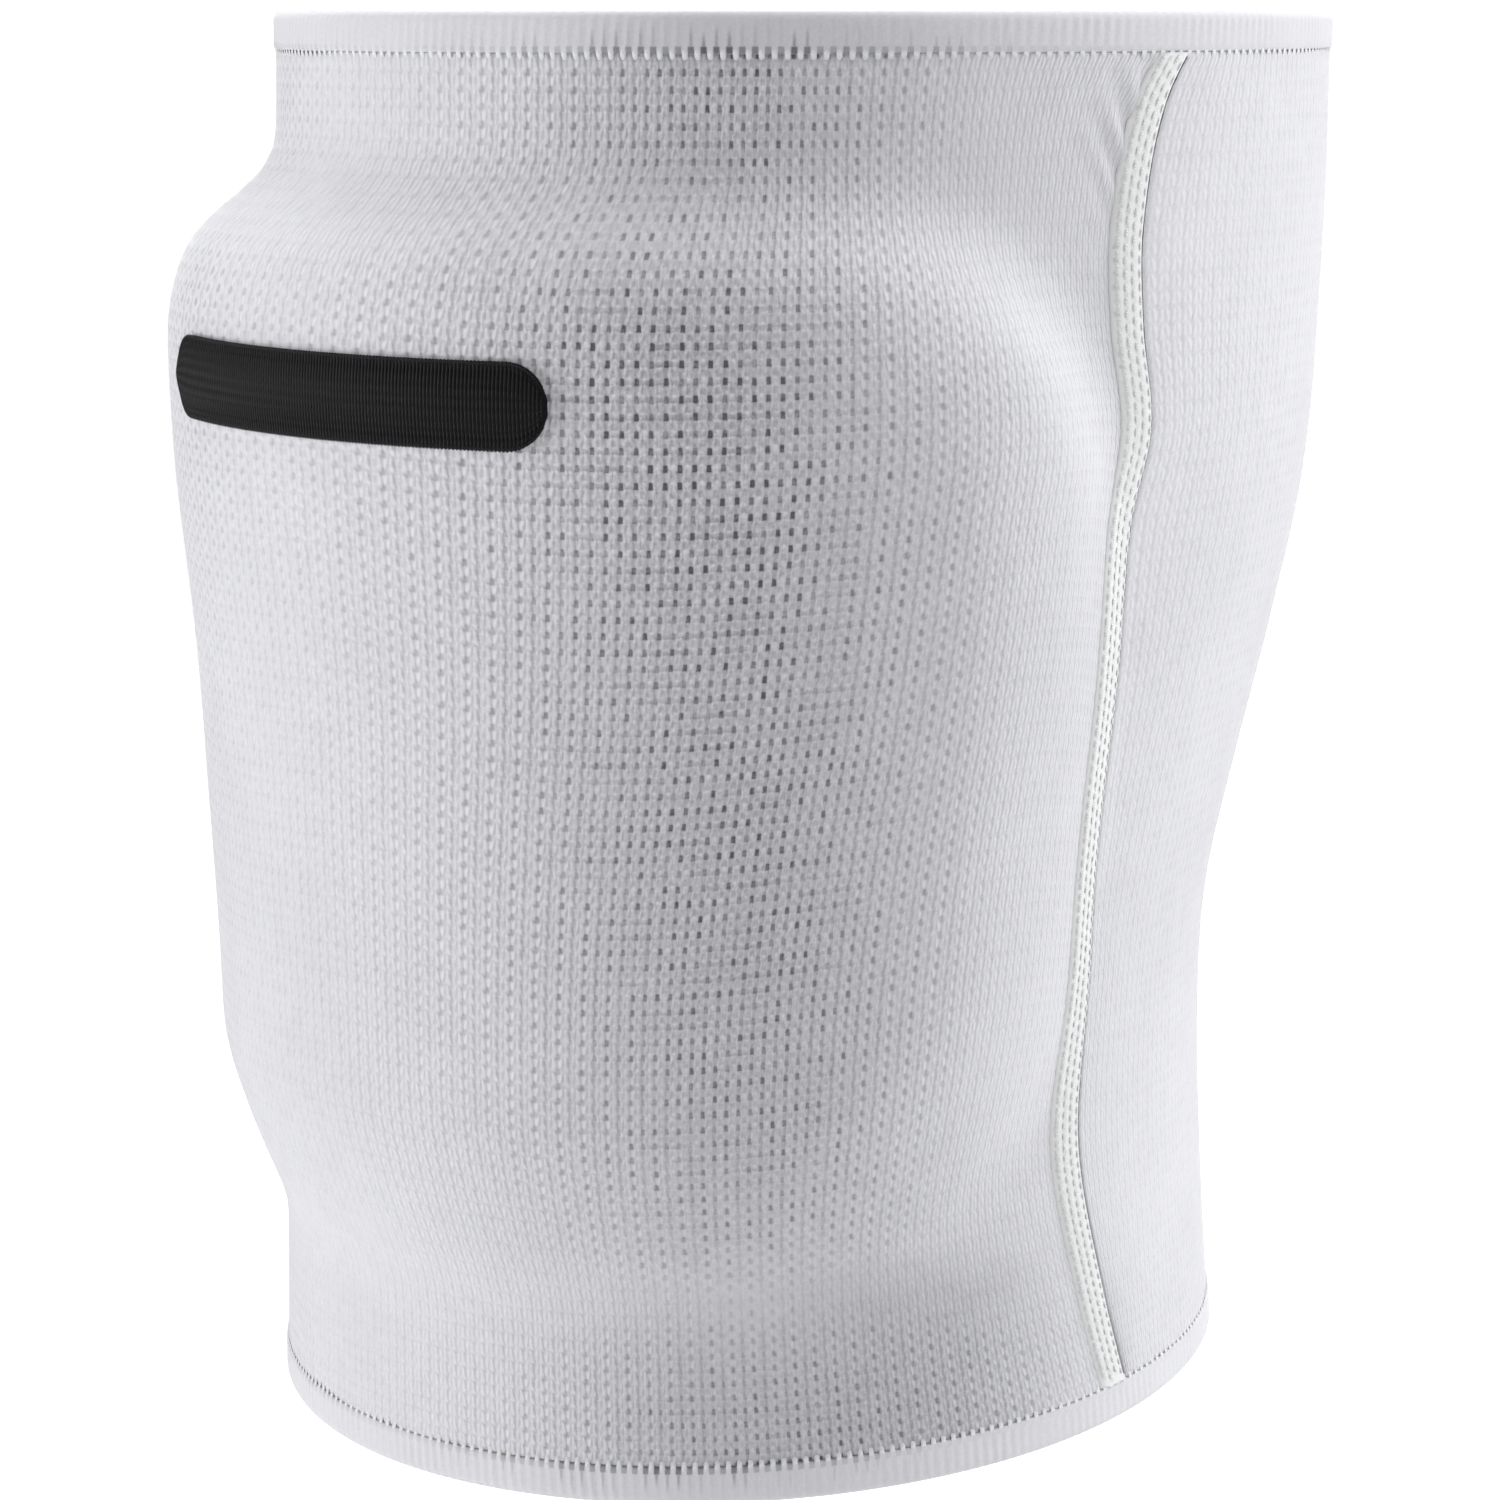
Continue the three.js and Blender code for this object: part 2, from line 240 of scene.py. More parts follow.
leg_height = maths(knit, "MULTIPLY", leg, maths(knit, "SUBTRACT", 1.0, row_dip))
height = maths(knit, "SUBTRACT", leg_height, maths(knit, "MULTIPLY", hole, 1.2))
feed(knit, knit_out.inputs["Hole"], hole)
feed(knit, knit_out.inputs["Height"], height)
feed(knit, knit_out.inputs["Tone"], chance)
print("knit group:", len(knit.nodes), "nodes")

# %% [markdown]
# Yarn is a twist of fine fibres, so no thread is quite smooth or quite one colour.
# The fibre group gives a fine grain and a slow change of tone. It reads the place in the object,
# because fibres don't follow the stitch count.
# The twist group draws the slanted plies of a sewing thread, from a map with the length along it.

# %% The fibre and twist groups
fibre, fibre_in, fibre_out = new_group(
    "fibre",
    [("Place", "NodeSocketVector", None), ("Fineness", "NodeSocketFloat", 2600.0)],
    ["Grain", "Drift"],
)
grain = add(fibre, "ShaderNodeTexNoise", fibre_in.outputs["Place"], None, fibre_in.outputs["Fineness"])
feed(fibre, grain.inputs["Scale"], fibre_in.outputs["Fineness"])
grain.inputs["Detail"].default_value = 3
drift = add(fibre, "ShaderNodeTexNoise", fibre_in.outputs["Place"])
drift.inputs["Scale"].default_value = 38
drift.inputs["Detail"].default_value = 3
feed(fibre, fibre_out.inputs["Grain"], grain.outputs[0])
feed(fibre, fibre_out.inputs["Drift"], drift.outputs[0])

twist, twist_in, twist_out = new_group(
    "yarn twist", [("Along", "NodeSocketVector", None), ("Plies", "NodeSocketFloat", 3.0)], ["Ply"]
)
along, around, _ = add(twist, "ShaderNodeSeparateXYZ", twist_in.outputs["Along"]).outputs
turns = maths(twist, "ADD", maths(twist, "MULTIPLY", along, twist_in.outputs["Plies"]), around)
wave = maths(twist, "SINE", maths(twist, "MULTIPLY", turns, 2 * math.pi))
feed(twist, twist_out.inputs["Ply"], maths(twist, "MULTIPLY_ADD", wave, 0.5, 0.5))
print("fibre and twist groups ready")

# %% [markdown]
# Every finish on the sleeve is the same white yarn, seen in different work: open knit, ribbed hem, flat
# seam, smooth lining and sewing thread. They share the helpers below, so they stay one family.
# White yarn isn't pure white. Its light side is a cool grey, and the holes show the shade inside.

# %% The white yarn finishes
LIGHT_YARN = (0.62, 0.62, 0.65, 1)
DEEP_YARN = (0.11, 0.11, 0.125, 1)
SEAM_YARN = (0.68, 0.685, 0.685, 1)
TIGHT_RELIEF = 0.2
FIBRE_DEPTH = 0.04 * MM


def use_group(tree, group, **values):
    """Places a node group and feeds its inputs by name."""
    node = tree.nodes.new("ShaderNodeGroup")
    node.node_tree = group
    for name, value in values.items():
        feed(tree, node.inputs[name], value)
    return node


def new_finish(name, roughness, sheen):
    """A material with a Principled shader whose plain numbers are set on its own sockets."""
    material = bpy.data.materials.new(name)
    material.use_nodes = True
    tree = material.node_tree
    shader = tree.nodes["Principled BSDF"]
    shader.inputs["Roughness"].default_value = roughness
    shader.inputs["Sheen Weight"].default_value = sheen
    shader.inputs["Sheen Roughness"].default_value = 0.5
    shader.inputs["Specular IOR Level"].default_value = 0.25
    return material, tree, shader


def raised(tree, height, strength, depth, over=None):
    """The normal of a relief that stands up by depth, in metres, on top of another one."""
    bump = add(tree, "ShaderNodeBump")
    bump.inputs["Strength"].default_value = strength
    bump.inputs["Distance"].default_value = depth
    feed(tree, bump.inputs["Height"], height)
    feed(tree, bump.inputs["Normal"], over)
    return bump.outputs[0]


def yarn_shade(tree, fibres):
    """The slow drift of tone in the yarn, and its grain."""
    drift_shade = ramp(tree, fibres.outputs["Drift"], 0.3, 0.7, 0.0, 0.05)
    return maths(tree, "ADD", drift_shade, ramp(tree, fibres.outputs["Grain"], 0.3, 0.7, 0.06, 0.0))


def white_yarn(name, openness, depth, stretches=False):
    """White knitted cloth: openness is how dark its holes are, and depth how high its stitches stand,
    in metres. Cloth that stretches takes its openness from the map that says how far each place is pulled
    open, which also carries painted light, and it adds the painted shade map."""
    material, tree, shader = new_finish(name, 0.85, 0.25)
    where = tree.nodes.new("ShaderNodeTexCoord")
    relief = 1.0
    # Painted shade, which only the stretching panels carry: in their border grooves and below the cushion.
    painted_shade = 0.0
    if stretches:
        # The stretch map sets how open the knit is and how dark its holes are painted: part pull, part
        # painted light.
        pulled = add(tree, "ShaderNodeAttribute", attribute_name="stretch").outputs["Fac"]
        painted_shade = add(tree, "ShaderNodeAttribute", attribute_name="painted_shade").outputs["Fac"]
        openness = maths(tree, "MULTIPLY", pulled, openness)
        relief = maths(tree, "MULTIPLY_ADD", pulled, 1 - TIGHT_RELIEF, TIGHT_RELIEF)
    stitches = use_group(tree, knit, Stitches=where.outputs["UV"], Openness=openness)
    fibres = use_group(tree, fibre, Place=where.outputs["Object"])
    shade = yarn_shade(tree, fibres)
    shade = maths(tree, "ADD", shade, maths(tree, "MULTIPLY", stitches.outputs["Tone"], 0.04))
    shade = maths(tree, "ADD", shade, stitches.outputs["Hole"])
    shade = maths(tree, "ADD", shade, painted_shade)
    feed(tree, shader.inputs["Base Color"], blend_colours(tree, shade, LIGHT_YARN, DEEP_YARN))
    loops = raised(tree, maths(tree, "MULTIPLY", stitches.outputs["Height"], relief), 0.8, depth)
    feed(tree, shader.inputs["Normal"], raised(tree, fibres.outputs["Grain"], 0.5, FIBRE_DEPTH, loops))
    return material


knit_finish = white_yarn("white_knit", openness=1.0, depth=0.32 * MM, stretches=True)
lining_finish = white_yarn("foam_lining", openness=0.3, depth=0.1 * MM)
print("white finishes: knit and lining")

# %% [markdown]
# The seam is covered with thread, so it shows almost no stitches of its own, and it is the whitest part.
# Its map runs from -1 to 1 across and counts stitches along it. Where two stitches meet, the needle leaves
# a hole. The dark in the holes is painted shade. It is darkest in the two columns next to the front panel,
# and shows less in the other two.

# %% The seam finish
SEAM_COLUMN = 0.46
# place across the seam, shift along it in stitches, strength
SEAM_NEEDLES = [(-0.69, 0.0, 0.3), (-0.23, 0.5, 0.3), (0.23, 0.0, 0.16), (0.69, 0.5, 0.14)]


def seam_yarn(name):
    """Thread-covered cloth with four columns of needle holes."""
    material, tree, shader = new_finish(name, 0.85, 0.25)
    where = tree.nodes.new("ShaderNodeTexCoord")
    wander = add(tree, "ShaderNodeTexNoise", where.outputs["UV"], noise_dimensions="2D")
    wander.inputs["Scale"].default_value = 0.9
    moved = maths(tree, "MULTIPLY_ADD", wander.outputs[0], 0.3, -0.15)
    across, along, _ = add(tree, "ShaderNodeSeparateXYZ", where.outputs["UV"]).outputs
    slow_rows = from_whole(tree, maths(tree, "MULTIPLY", along, 0.37))
    dark = maths(tree, "MULTIPLY", strip(tree, slow_rows, 0.1, 1.0), 0.03)
    for place, shift, strength in SEAM_NEEDLES:
        beside = maths(tree, "ADD", maths(tree, "SUBTRACT", across, place), moved)
        column = strip(tree, beside, 0.13, 0.5)
        row = maths(tree, "ADD", maths(tree, "ADD", along, shift), moved)
        hole = maths(tree, "MULTIPLY", column, strip(tree, from_whole(tree, row), 0.2, 0.5))
        dark = maths(tree, "MAXIMUM", dark, maths(tree, "MULTIPLY", hole, strength))
    uneven = ramp(tree, wander.outputs[0], 0.3, 0.75, 0.35, 1.0)
    dark = maths(tree, "MULTIPLY", dark, uneven)
    fibres = use_group(tree, fibre, Place=where.outputs["Object"])
    shade = maths(tree, "ADD", dark, ramp(tree, fibres.outputs["Grain"], 0.3, 0.7, 0.03, 0.0))
    feed(tree, shader.inputs["Base Color"], blend_colours(tree, shade, SEAM_YARN, DEEP_YARN))
    feed(tree, shader.inputs["Normal"], raised(tree, maths(tree, "SUBTRACT", 1.0, dark), 0.6, 0.15 * MM))
    return material


seam_finish = seam_yarn("flat_seam")
print("seam finish ready")

# %% [markdown]
# The hem is the same yarn folded double. Its map counts ribs along the hem and millimetres in from the
# free edge. Between the ribs run soft dark grooves of uneven length, which start at the sewing line, where
# the needle leaves a square hole in every groove. The dark in the grooves and holes is painted shade.

# %% The hem finish
NEEDLE_LINE = 4.25


def hem_yarn(name):
    """White folded knit with grooves and needle holes."""
    material, tree, shader = new_finish(name, 0.85, 0.25)
    where = tree.nodes.new("ShaderNodeTexCoord")
    # The stretch map sets how dark the grooves and needle holes are painted: part pull, part painted light.
    pulled = add(tree, "ShaderNodeAttribute", attribute_name="stretch").outputs["Fac"]
    ribs, inward, _ = add(tree, "ShaderNodeSeparateXYZ", where.outputs["UV"]).outputs
    rib = maths(tree, "ROUND", ribs)
    chance = add(tree, "ShaderNodeTexWhiteNoise", None, rib, noise_dimensions="1D").outputs["Value"]
    column = from_whole(tree, ribs)
    groove_strength = ramp(tree, chance, 0.25, 1.0, 0.06, 0.55)
    groove = maths(tree, "MULTIPLY", strip(tree, column, 0.12, 0.8), groove_strength)
    start = maths(tree, "MULTIPLY", chance, 2.6)
    groove = maths(tree, "MULTIPLY", groove, ramp(tree, maths(tree, "SUBTRACT", inward, start), -0.6, 1.4))
    needle_row = strip(tree, maths(tree, "SUBTRACT", inward, NEEDLE_LINE), 0.42)
    needle = maths(tree, "MULTIPLY", strip(tree, column, 0.24), needle_row)
    needle = maths(tree, "MULTIPLY", needle, ramp(tree, chance, 0.0, 1.0, 0.45, 0.85))
    dark = maths(tree, "MULTIPLY", maths(tree, "MAXIMUM", groove, needle), pulled)
    fibres = use_group(tree, fibre, Place=where.outputs["Object"])
    # Painted shade from the hem's masks: the top hem darker than the bottom one, most on the flanks.
    painted_shade = add(tree, "ShaderNodeAttribute", attribute_name="painted_shade").outputs["Fac"]
    shade = maths(tree, "ADD", yarn_shade(tree, fibres), maths(tree, "ADD", dark, painted_shade))
    feed(tree, shader.inputs["Base Color"], blend_colours(tree, shade, LIGHT_YARN, DEEP_YARN))
    grooves = raised(tree, maths(tree, "SUBTRACT", 1.0, dark), 0.7, 0.2 * MM)
    feed(tree, shader.inputs["Normal"], raised(tree, fibres.outputs["Grain"], 0.5, FIBRE_DEPTH, grooves))
    return material


hem_finish = hem_yarn("ribbed_hem")
print("hem finish ready")

# %% [markdown]
# Sewing thread is a few plies twisted together, and each ply catches the light on its own.
# The plies are drawn along the thread's map, because they are too fine to model on thousands of stitches.
# The black satin thread has hardly any gloss.

# %% Threads
WHITE_THREAD = (0.66, 0.665, 0.67, 1)
WHITE_THREAD_DEEP = (0.42, 0.42, 0.44, 1)
BLACK_THREAD = (0.005, 0.005, 0.006, 1)
BLACK_THREAD_DEEP = (0.001, 0.001, 0.0015, 1)


def thread_finish(name, light, deep, roughness, sheen, plies):
    """Sewing thread, with its twist drawn along the thread."""
    material, tree, shader = new_finish(name, roughness, sheen)
    where = tree.nodes.new("ShaderNodeTexCoord")
    ply = use_group(tree, twist, Along=where.outputs["UV"], Plies=plies).outputs["Ply"]
    fibres = use_group(tree, fibre, Place=where.outputs["Object"], Fineness=3500.0)
    fuzz = ramp(tree, fibres.outputs["Grain"], 0.3, 0.7, 0.1, 0.0)
    shade = maths(tree, "ADD", ramp(tree, ply, 0.0, 1.0, 0.25, 0.0), fuzz)
    feed(tree, shader.inputs["Base Color"], blend_colours(tree, shade, light, deep))
    feed(tree, shader.inputs["Normal"], raised(tree, ply, 0.6, 0.08 * MM))
    return material


white_thread = thread_finish("white_thread", WHITE_THREAD, WHITE_THREAD_DEEP, 0.75, 0.2, 3.0)
black_thread = thread_finish("black_satin_thread", BLACK_THREAD, BLACK_THREAD_DEEP, 0.6, 0.0, 9.0)
black_thread.node_tree.nodes["Principled BSDF"].inputs["Specular IOR Level"].default_value = 0.1
print("thread finishes: white, black")

# %% [markdown]
# The leg gives the sleeve its shape. These are the same sizes as in the CAD source, in metres:
# the leg's sections from the top hem down, the line of the side seams, and the foam under the front.
# The tables are read on a smooth curve, so a few rows describe the whole leg.

# %% The leg and the seam line
SLEEVE_LENGTH = 171 * MM
LEG_WIDTH = 129 * MM
LEG_DEPTH = 129 * MM
BOTTOM_SLOPE = 4.4

# down, width share, depth share, back share
LEG_SECTIONS = np.array([
    (0.0, 1.0, 1.0, 0.05),
    (0.15, 1.0, 1.0, 0.046),
    (0.33, 0.984, 0.984, 0.036),
    (0.45, 0.952, 0.952, 0.013),
    (0.55, 0.921, 0.921, -0.012),
    (0.65, 0.89, 0.89, -0.031),
    (0.75, 0.884, 0.884, -0.036),
    (0.87, 0.891, 0.891, -0.033),
    (1.0, 0.905, 0.905, -0.027),
])
# down, angle from the front
SEAM_PATH = np.array([
    (0.0, 88), (0.06, 81.8), (0.14, 79.2), (0.21, 79.8), (0.28, 81.7), (0.35, 80.0),
    (0.44, 81.8), (0.57, 84.6), (0.67, 87.4), (0.79, 86.6), (0.9, 90.3), (1.0, 95),
])


def read_table(table, column, place):
    """Reads a column at places between its rows, on a smooth curve through them."""
    key = table[:, 0]
    value = table[:, column]
    last = len(key) - 1
    before = np.maximum(np.arange(last + 1) - 1, 0)
    after = np.minimum(np.arange(last + 1) + 1, last)
    slope = (value[after] - value[before]) / (key[after] - key[before])
    at = np.clip(place, key[0], key[-1])
    row = np.clip(np.searchsorted(key, at) - 1, 0, last - 1)
    span = key[row + 1] - key[row]
    t = (at - key[row]) / span
    return (
        value[row] * (1 + 2 * t) * (1 - t) ** 2
        + slope[row] * span * t * (1 - t) ** 2
        + value[row + 1] * t ** 2 * (3 - 2 * t)
        + slope[row + 1] * span * t ** 2 * (t - 1)
    )


def sleeve_point(angle, down, offset):
    """Points of the sleeve: angle in degrees from the front, down from the top hem, offset off the leg."""
    half_width = read_table(LEG_SECTIONS, 1, down) * LEG_WIDTH / 2
    half_depth = read_table(LEG_SECTIONS, 2, down) * LEG_DEPTH / 2
    back = read_table(LEG_SECTIONS, 3, down) * LEG_DEPTH
    sin, cos = np.sin(np.radians(angle)), np.cos(np.radians(angle))
    bottom_depth = LEG_SECTIONS[-1, 2] * LEG_DEPTH / 2
    bottom = -SLEEVE_LENGTH / 2 - math.tan(math.radians(BOTTOM_SLOPE)) * bottom_depth * cos
    x = (half_width + offset) * sin
    y = back - (half_depth + offset) * cos
    z = SLEEVE_LENGTH / 2 + (bottom - SLEEVE_LENGTH / 2) * down
    return np.stack([x, y, z], axis=-1)


def from_front(angle):
    """The same angle, counted from the front to both sides, from -180 to 180."""
    return np.mod(angle + 180, 360) - 180


def arc_angle(length, down):
    """The turn round the leg, in degrees, that a length takes."""
    return np.degrees(length / (read_table(LEG_SECTIONS, 1, down) * LEG_WIDTH / 2))


print("the leg is", round(math.pi * LEG_WIDTH * 1000), "mm round at the top hem")

# %% [markdown]
# The foam is a squarish oval with a bevelled edge. Its top edge stands up in an S and the other edges slope.
# pad_lift() says how far the knit stands off the leg at any place, so every piece over the foam can ask it.

# %% The lift over the foam
PAD_THICKNESS = 14 * MM
PAD_WIDTH = 178 * MM
PAD_HEIGHT = 132 * MM
PAD_CENTRE = 4 * MM
PAD_BEVEL = 22 * MM
PAD_CORNER = 4
PAD_EDGE = 0.93
KNIT_SOFTNESS = 3 * MM
# down along the pad, share of the thickness
PAD_CROWN = np.array([
    (0.0, 0.96), (0.15, 1.0), (0.3, 0.96), (0.45, 0.8),
    (0.58, 0.68), (0.72, 0.61), (0.85, 0.56), (1.0, 0.52),
])
# inside the outline, rise at the top, rise elsewhere
PAD_BEVEL_PROFILE = np.array([
    (0.0, 0.0, 0.0), (0.14, 0.11, 0.17), (0.26, 0.34, 0.32), (0.38, 0.63, 0.47),
    (0.52, 0.8, 0.62), (0.75, 0.93, 0.83), (1.0, 1.0, 1.0),
])


def down_at(height):
    """The share of the sleeve's length at a height."""
    return 0.5 - height / SLEEVE_LENGTH


PAD_TOP = down_at(PAD_CENTRE + PAD_HEIGHT / 2)
PAD_BOTTOM = down_at(PAD_CENTRE - PAD_HEIGHT / 2)


def pad_lift(angle, down):
    """How far the foam lifts the knit off the leg, in metres."""
    p = np.abs(from_front(angle)) / arc_angle(PAD_WIDTH / 2, down)
    q = 2 * (down - PAD_TOP) / (PAD_BOTTOM - PAD_TOP) - 1
    oval = np.maximum((p ** PAD_CORNER + np.abs(q) ** PAD_CORNER) ** (1 / PAD_CORNER), 1e-6)
    steepness = np.hypot(
        (p / oval) ** (PAD_CORNER - 1) / (PAD_WIDTH / 2),
        (np.abs(q) / oval) ** (PAD_CORNER - 1) / (PAD_HEIGHT / 2),
    )
    inside = np.clip((1 - oval) / np.maximum(steepness, 1e-6) / PAD_BEVEL, 0, 1)
    plain = np.clip(1 + q / oval, 0, 1)
    rise_top = read_table(PAD_BEVEL_PROFILE, 1, inside)
    rise_plain = read_table(PAD_BEVEL_PROFILE, 2, inside)
    along_pad = (down - PAD_TOP) / (PAD_BOTTOM - PAD_TOP)
    lift = PAD_THICKNESS * read_table(PAD_CROWN, 1, along_pad) * (rise_top + (rise_plain - rise_top) * plain)
    return np.where(oval >= 1, 0.0, lift)


def knit_lift(angle, down):
    """The lift of the knit. Stretched cloth bridges every dip and rounds every edge, so it is the mean
    of the foam's lift at the place and at eight places round it."""
    turn = arc_angle(KNIT_SOFTNESS, down)
    rise = KNIT_SOFTNESS / SLEEVE_LENGTH
    lift = 0.0
    for right in (-1, 0, 1):
        for below in (-1, 0, 1):
            share = (2 - abs(right)) * (2 - abs(below)) / 16
            lift = lift + share * pad_lift(angle + right * turn, down + below * rise)
    return lift


def knit_point(angle, down, offset):
    """A point of the knit, over the leg and the foam."""
    return sleeve_point(angle, down, knit_lift(angle, down) + offset)


print("thickest lift", round(float(pad_lift(np.array(0.0), np.array(0.25))) * 1000, 1), "mm")

# %% [markdown]
# A knit opens where it is pulled and closes where it lies slack. On this pad it is widest open on the
# cushion's right flank, about 40 degrees round from the front. It is less open on the left flank, and nearly
# closed at the front, at the seams and behind. The map's strength also paints light and shade: the holes are
# painted darkest on the right flank, which faces the camera, and paler on the left flank and in a band just
# below the cushion, where more light falls. One pattern all over would be simpler, but it would look
# printed. The function below gives the openness as a share, which goes with every vertex as its own map.

# %% How far the stitches are pulled open
# The shares also paint light: they dip just below the cushion, where the holes are painted paler as a lit
# band.
# down, share of the flank's openness, angle of the flank
OPEN_DOWN = np.array([
    (0.0, 0.85, 38), (0.08, 0.9, 37), (0.14, 0.65, 36), (0.18, 1.0, 35), (0.22, 1.2, 35),
    (0.3, 1.12, 37), (0.42, 0.97, 40), (0.62, 0.9, 44), (0.75, 0.66, 46), (0.81, 0.44, 44),
    (0.86, 0.18, 42), (0.92, 0.55, 42), (1.0, 0.75, 42),
])
OPEN_SPREAD = 17
OPEN_BEHIND = 15
OPEN_BEHIND_BELOW = 32
OPEN_LEAST = 0.11
OPEN_FRONT = 0.22
# The left flank is painted with paler holes, because more light falls on it.
LIT_FLANK_ANGLE = -42
LIT_FLANK_SPREAD = 34
LIT_FLANK_SHARE = 0.8
# Painted shade below the cushion beside the seams: its angle, width and strength.
SHADE_BELOW_PAD_ANGLE = 68
SHADE_BELOW_PAD_SPREAD = 16
SHADE_BELOW_PAD_STRENGTH = 0.22


def lit_left_factor(angle):
    """Less pull and paler painted hole shade on the left flank than the right one, as more light falls
    there.
    """
    return 1 - LIT_FLANK_SHARE * np.exp(-(((from_front(angle) - LIT_FLANK_ANGLE) / LIT_FLANK_SPREAD) ** 2))


def open_and_shade_here(angle, down):
    """How far the cloth is pulled open at a place, from 0 to about 1. Its strength also sets the holes'
    painted shade.
    """
    past = np.abs(from_front(angle)) - read_table(OPEN_DOWN, 2, down)
    behind = OPEN_BEHIND + (OPEN_BEHIND_BELOW - OPEN_BEHIND) * np.clip((down - 0.76) / 0.12, 0, 1)
    flank = np.exp(-((past / np.where(past < 0, OPEN_SPREAD, behind)) ** 2))
    least = np.where(past < 0, OPEN_FRONT, OPEN_LEAST)
    return read_table(OPEN_DOWN, 1, down) * (least + (1 - least) * flank) * lit_left_factor(angle)


def painted_shade_below_pad(angle, down):
    """Painted shade below the cushion, beside the seams: a darker band low on the flanks."""
    beside = np.exp(-(((np.abs(from_front(angle)) - SHADE_BELOW_PAD_ANGLE) / SHADE_BELOW_PAD_SPREAD) ** 2))
    return lit_left_factor(angle) * SHADE_BELOW_PAD_STRENGTH * beside * np.clip((down - 0.83) / 0.04, 0, 1)


print("openness at the flank", round(float(open_and_shade_here(np.array(42.0), np.array(0.4))), 2))

# %% [markdown]
# Cloth is cut flat and then put on. Each piece below starts flat too: x counts across, y counts down and
# z runs through the cloth from 0 on the leg's side to 1 outside. The flat place becomes the piece's own map,
# so the pattern follows the cloth, and then every vertex moves to its place round the leg.
# Modelling straight onto the leg is possible, but then nothing says where a stitch begins.

# %% From flat cloth to a finished piece
def read_places(mesh):
    """A mesh's vertices as an array."""
    places = np.empty(len(mesh.vertices) * 3)
    mesh.vertices.foreach_get("co", places)
    return places.reshape(-1, 3)


def write_map(mesh, flat_map):
    """Gives every corner of every face the flat place of its vertex as its UV."""
    corners = np.empty(len(mesh.loops), dtype=np.int64)
    mesh.loops.foreach_get("vertex_index", corners)
    layer = mesh.uv_layers.new(name="UVMap")
    layer.data.foreach_set("uv", flat_map[corners].astype(np.float32).ravel())


def dress(name, bm, put_on, finish, nodes=(), flat_map=None, sharp=55, masks=None):
    """Makes a piece from a flat bmesh: maps it, puts it on the leg, points its faces out and gives it
    its finish. masks gives values that go with every vertex, such as how far the cloth is pulled open."""
    mesh = bpy.data.meshes.new(name)
    bm.to_mesh(mesh)
    bm.free()
    flat = read_places(mesh)
    if flat_map is not None:
        write_map(mesh, flat_map(flat))
    for title, values in (masks(flat) if masks else {}).items():
        mesh.attributes.new(title, "FLOAT", "POINT").data.foreach_set("value", values.astype(np.float32))
    mesh.vertices.foreach_set("co", put_on(flat).ravel())
    bm = bmesh.new()
    bm.from_mesh(mesh)
    bmesh.ops.remove_doubles(bm, verts=bm.verts, dist=1e-7)
    bmesh.ops.recalc_face_normals(bm, faces=bm.faces)
    bm.to_mesh(mesh)
    bm.free()
    mesh.shade_smooth()
    mesh.set_sharp_from_angle(angle=math.radians(sharp))
    mesh.materials.append(finish)
    piece = bpy.data.objects.new(name, mesh)
    bpy.context.scene.collection.objects.link(piece)
    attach(piece, "root")
    if nodes:
        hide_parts(*nodes)
    triangles = sum(len(face.vertices) - 2 for face in mesh.polygons)
    print(f"{name}: {triangles} triangles")
    return piece


def verts_of(made):
    """The vertices in what a bmesh operator made."""
    return [item for item in made["geom"] if isinstance(item, bmesh.types.BMVert)]


def flat_cloth(columns, rows, width, length, cuts):
    """Flat cloth, one layer of cells on the leg's side and each cell cut finer on the outside."""
    bm = bmesh.new()
    bmesh.ops.create_grid(bm, x_segments=columns, y_segments=rows, size=0.5)
    bmesh.ops.translate(bm, vec=(0.5, 0.5, 0), verts=bm.verts)
    bmesh.ops.scale(bm, vec=(width, length, 1), verts=bm.verts)
    outside = bmesh.ops.extrude_face_region(bm, geom=bm.faces[:])
    bmesh.ops.translate(bm, vec=(0, 0, 1), verts=verts_of(outside))
    if cuts:
        faces = [item for item in outside["geom"] if isinstance(item, bmesh.types.BMFace)]
        edges = {edge for face in faces for edge in face.edges}
        bmesh.ops.subdivide_edges(bm, edges=list(edges), cuts=cuts, use_grid_fill=True)
    return bm


print("cloth helpers ready")

# %% [markdown]
# The two panels are open knit. On the real pad each stitch is a loop about 1.6 mm wide and 1.8 mm tall,
# with a dark hole beside it. A bump alone would leave the edge of the panel smooth, so the stitches are
# also shaped in the mesh: the outside has three steps to a stitch across and two down, and the steps
# on a stitch's border sink. More steps would be truer, but each doubling makes the panel four times as
# heavy. The stitches are closer at the sides than at the front, and closer below than above. Over the foam
# the rows sag a little on the flanks. At the seam the columns lean, because the seam wanders and the middle
# columns don't.

# %% The knitted panels
KNIT_WALL = 2 * MM
SEAM_WIDTH = 4.8 * MM
HEM_HEIGHT = 4.6 * MM
FIT = 0.08 * MM
WALES = 144
COURSES = 90
CELL_ACROSS = 2
CELL_DOWN = 3
CELL_STEPS = 6
GROOVE = 0.12 * MM
DIP = 0.24 * MM
SLACK_RELIEF = 0.3
PANEL_TOP = (HEM_HEIGHT + FIT) / SLEEVE_LENGTH
PANEL_BOTTOM = 1 - PANEL_TOP
FRONT_REACH = 80.5
BACK_REACH = 94.5
SIDE_DENSITY = 0.277
LEAN_POWER = 3
BACK_LEAN_POWER = 9
ROW_DENSITY = 0.1
ROW_SAG = 1.0
SAG_FLANK = 27
SAG_WIDTH = 50
BORDER_SHADE = 0.45
GATHER_DEPTH = 0.4 * MM
GATHER_REACH = 5
GATHER_ROW = 4
GATHER_ROWS = 4.5
GATHER_PITCH = 2.8


def seam_angle(down):
    """The angle of the side seams from the front."""
    return read_table(SEAM_PATH, 1, down)


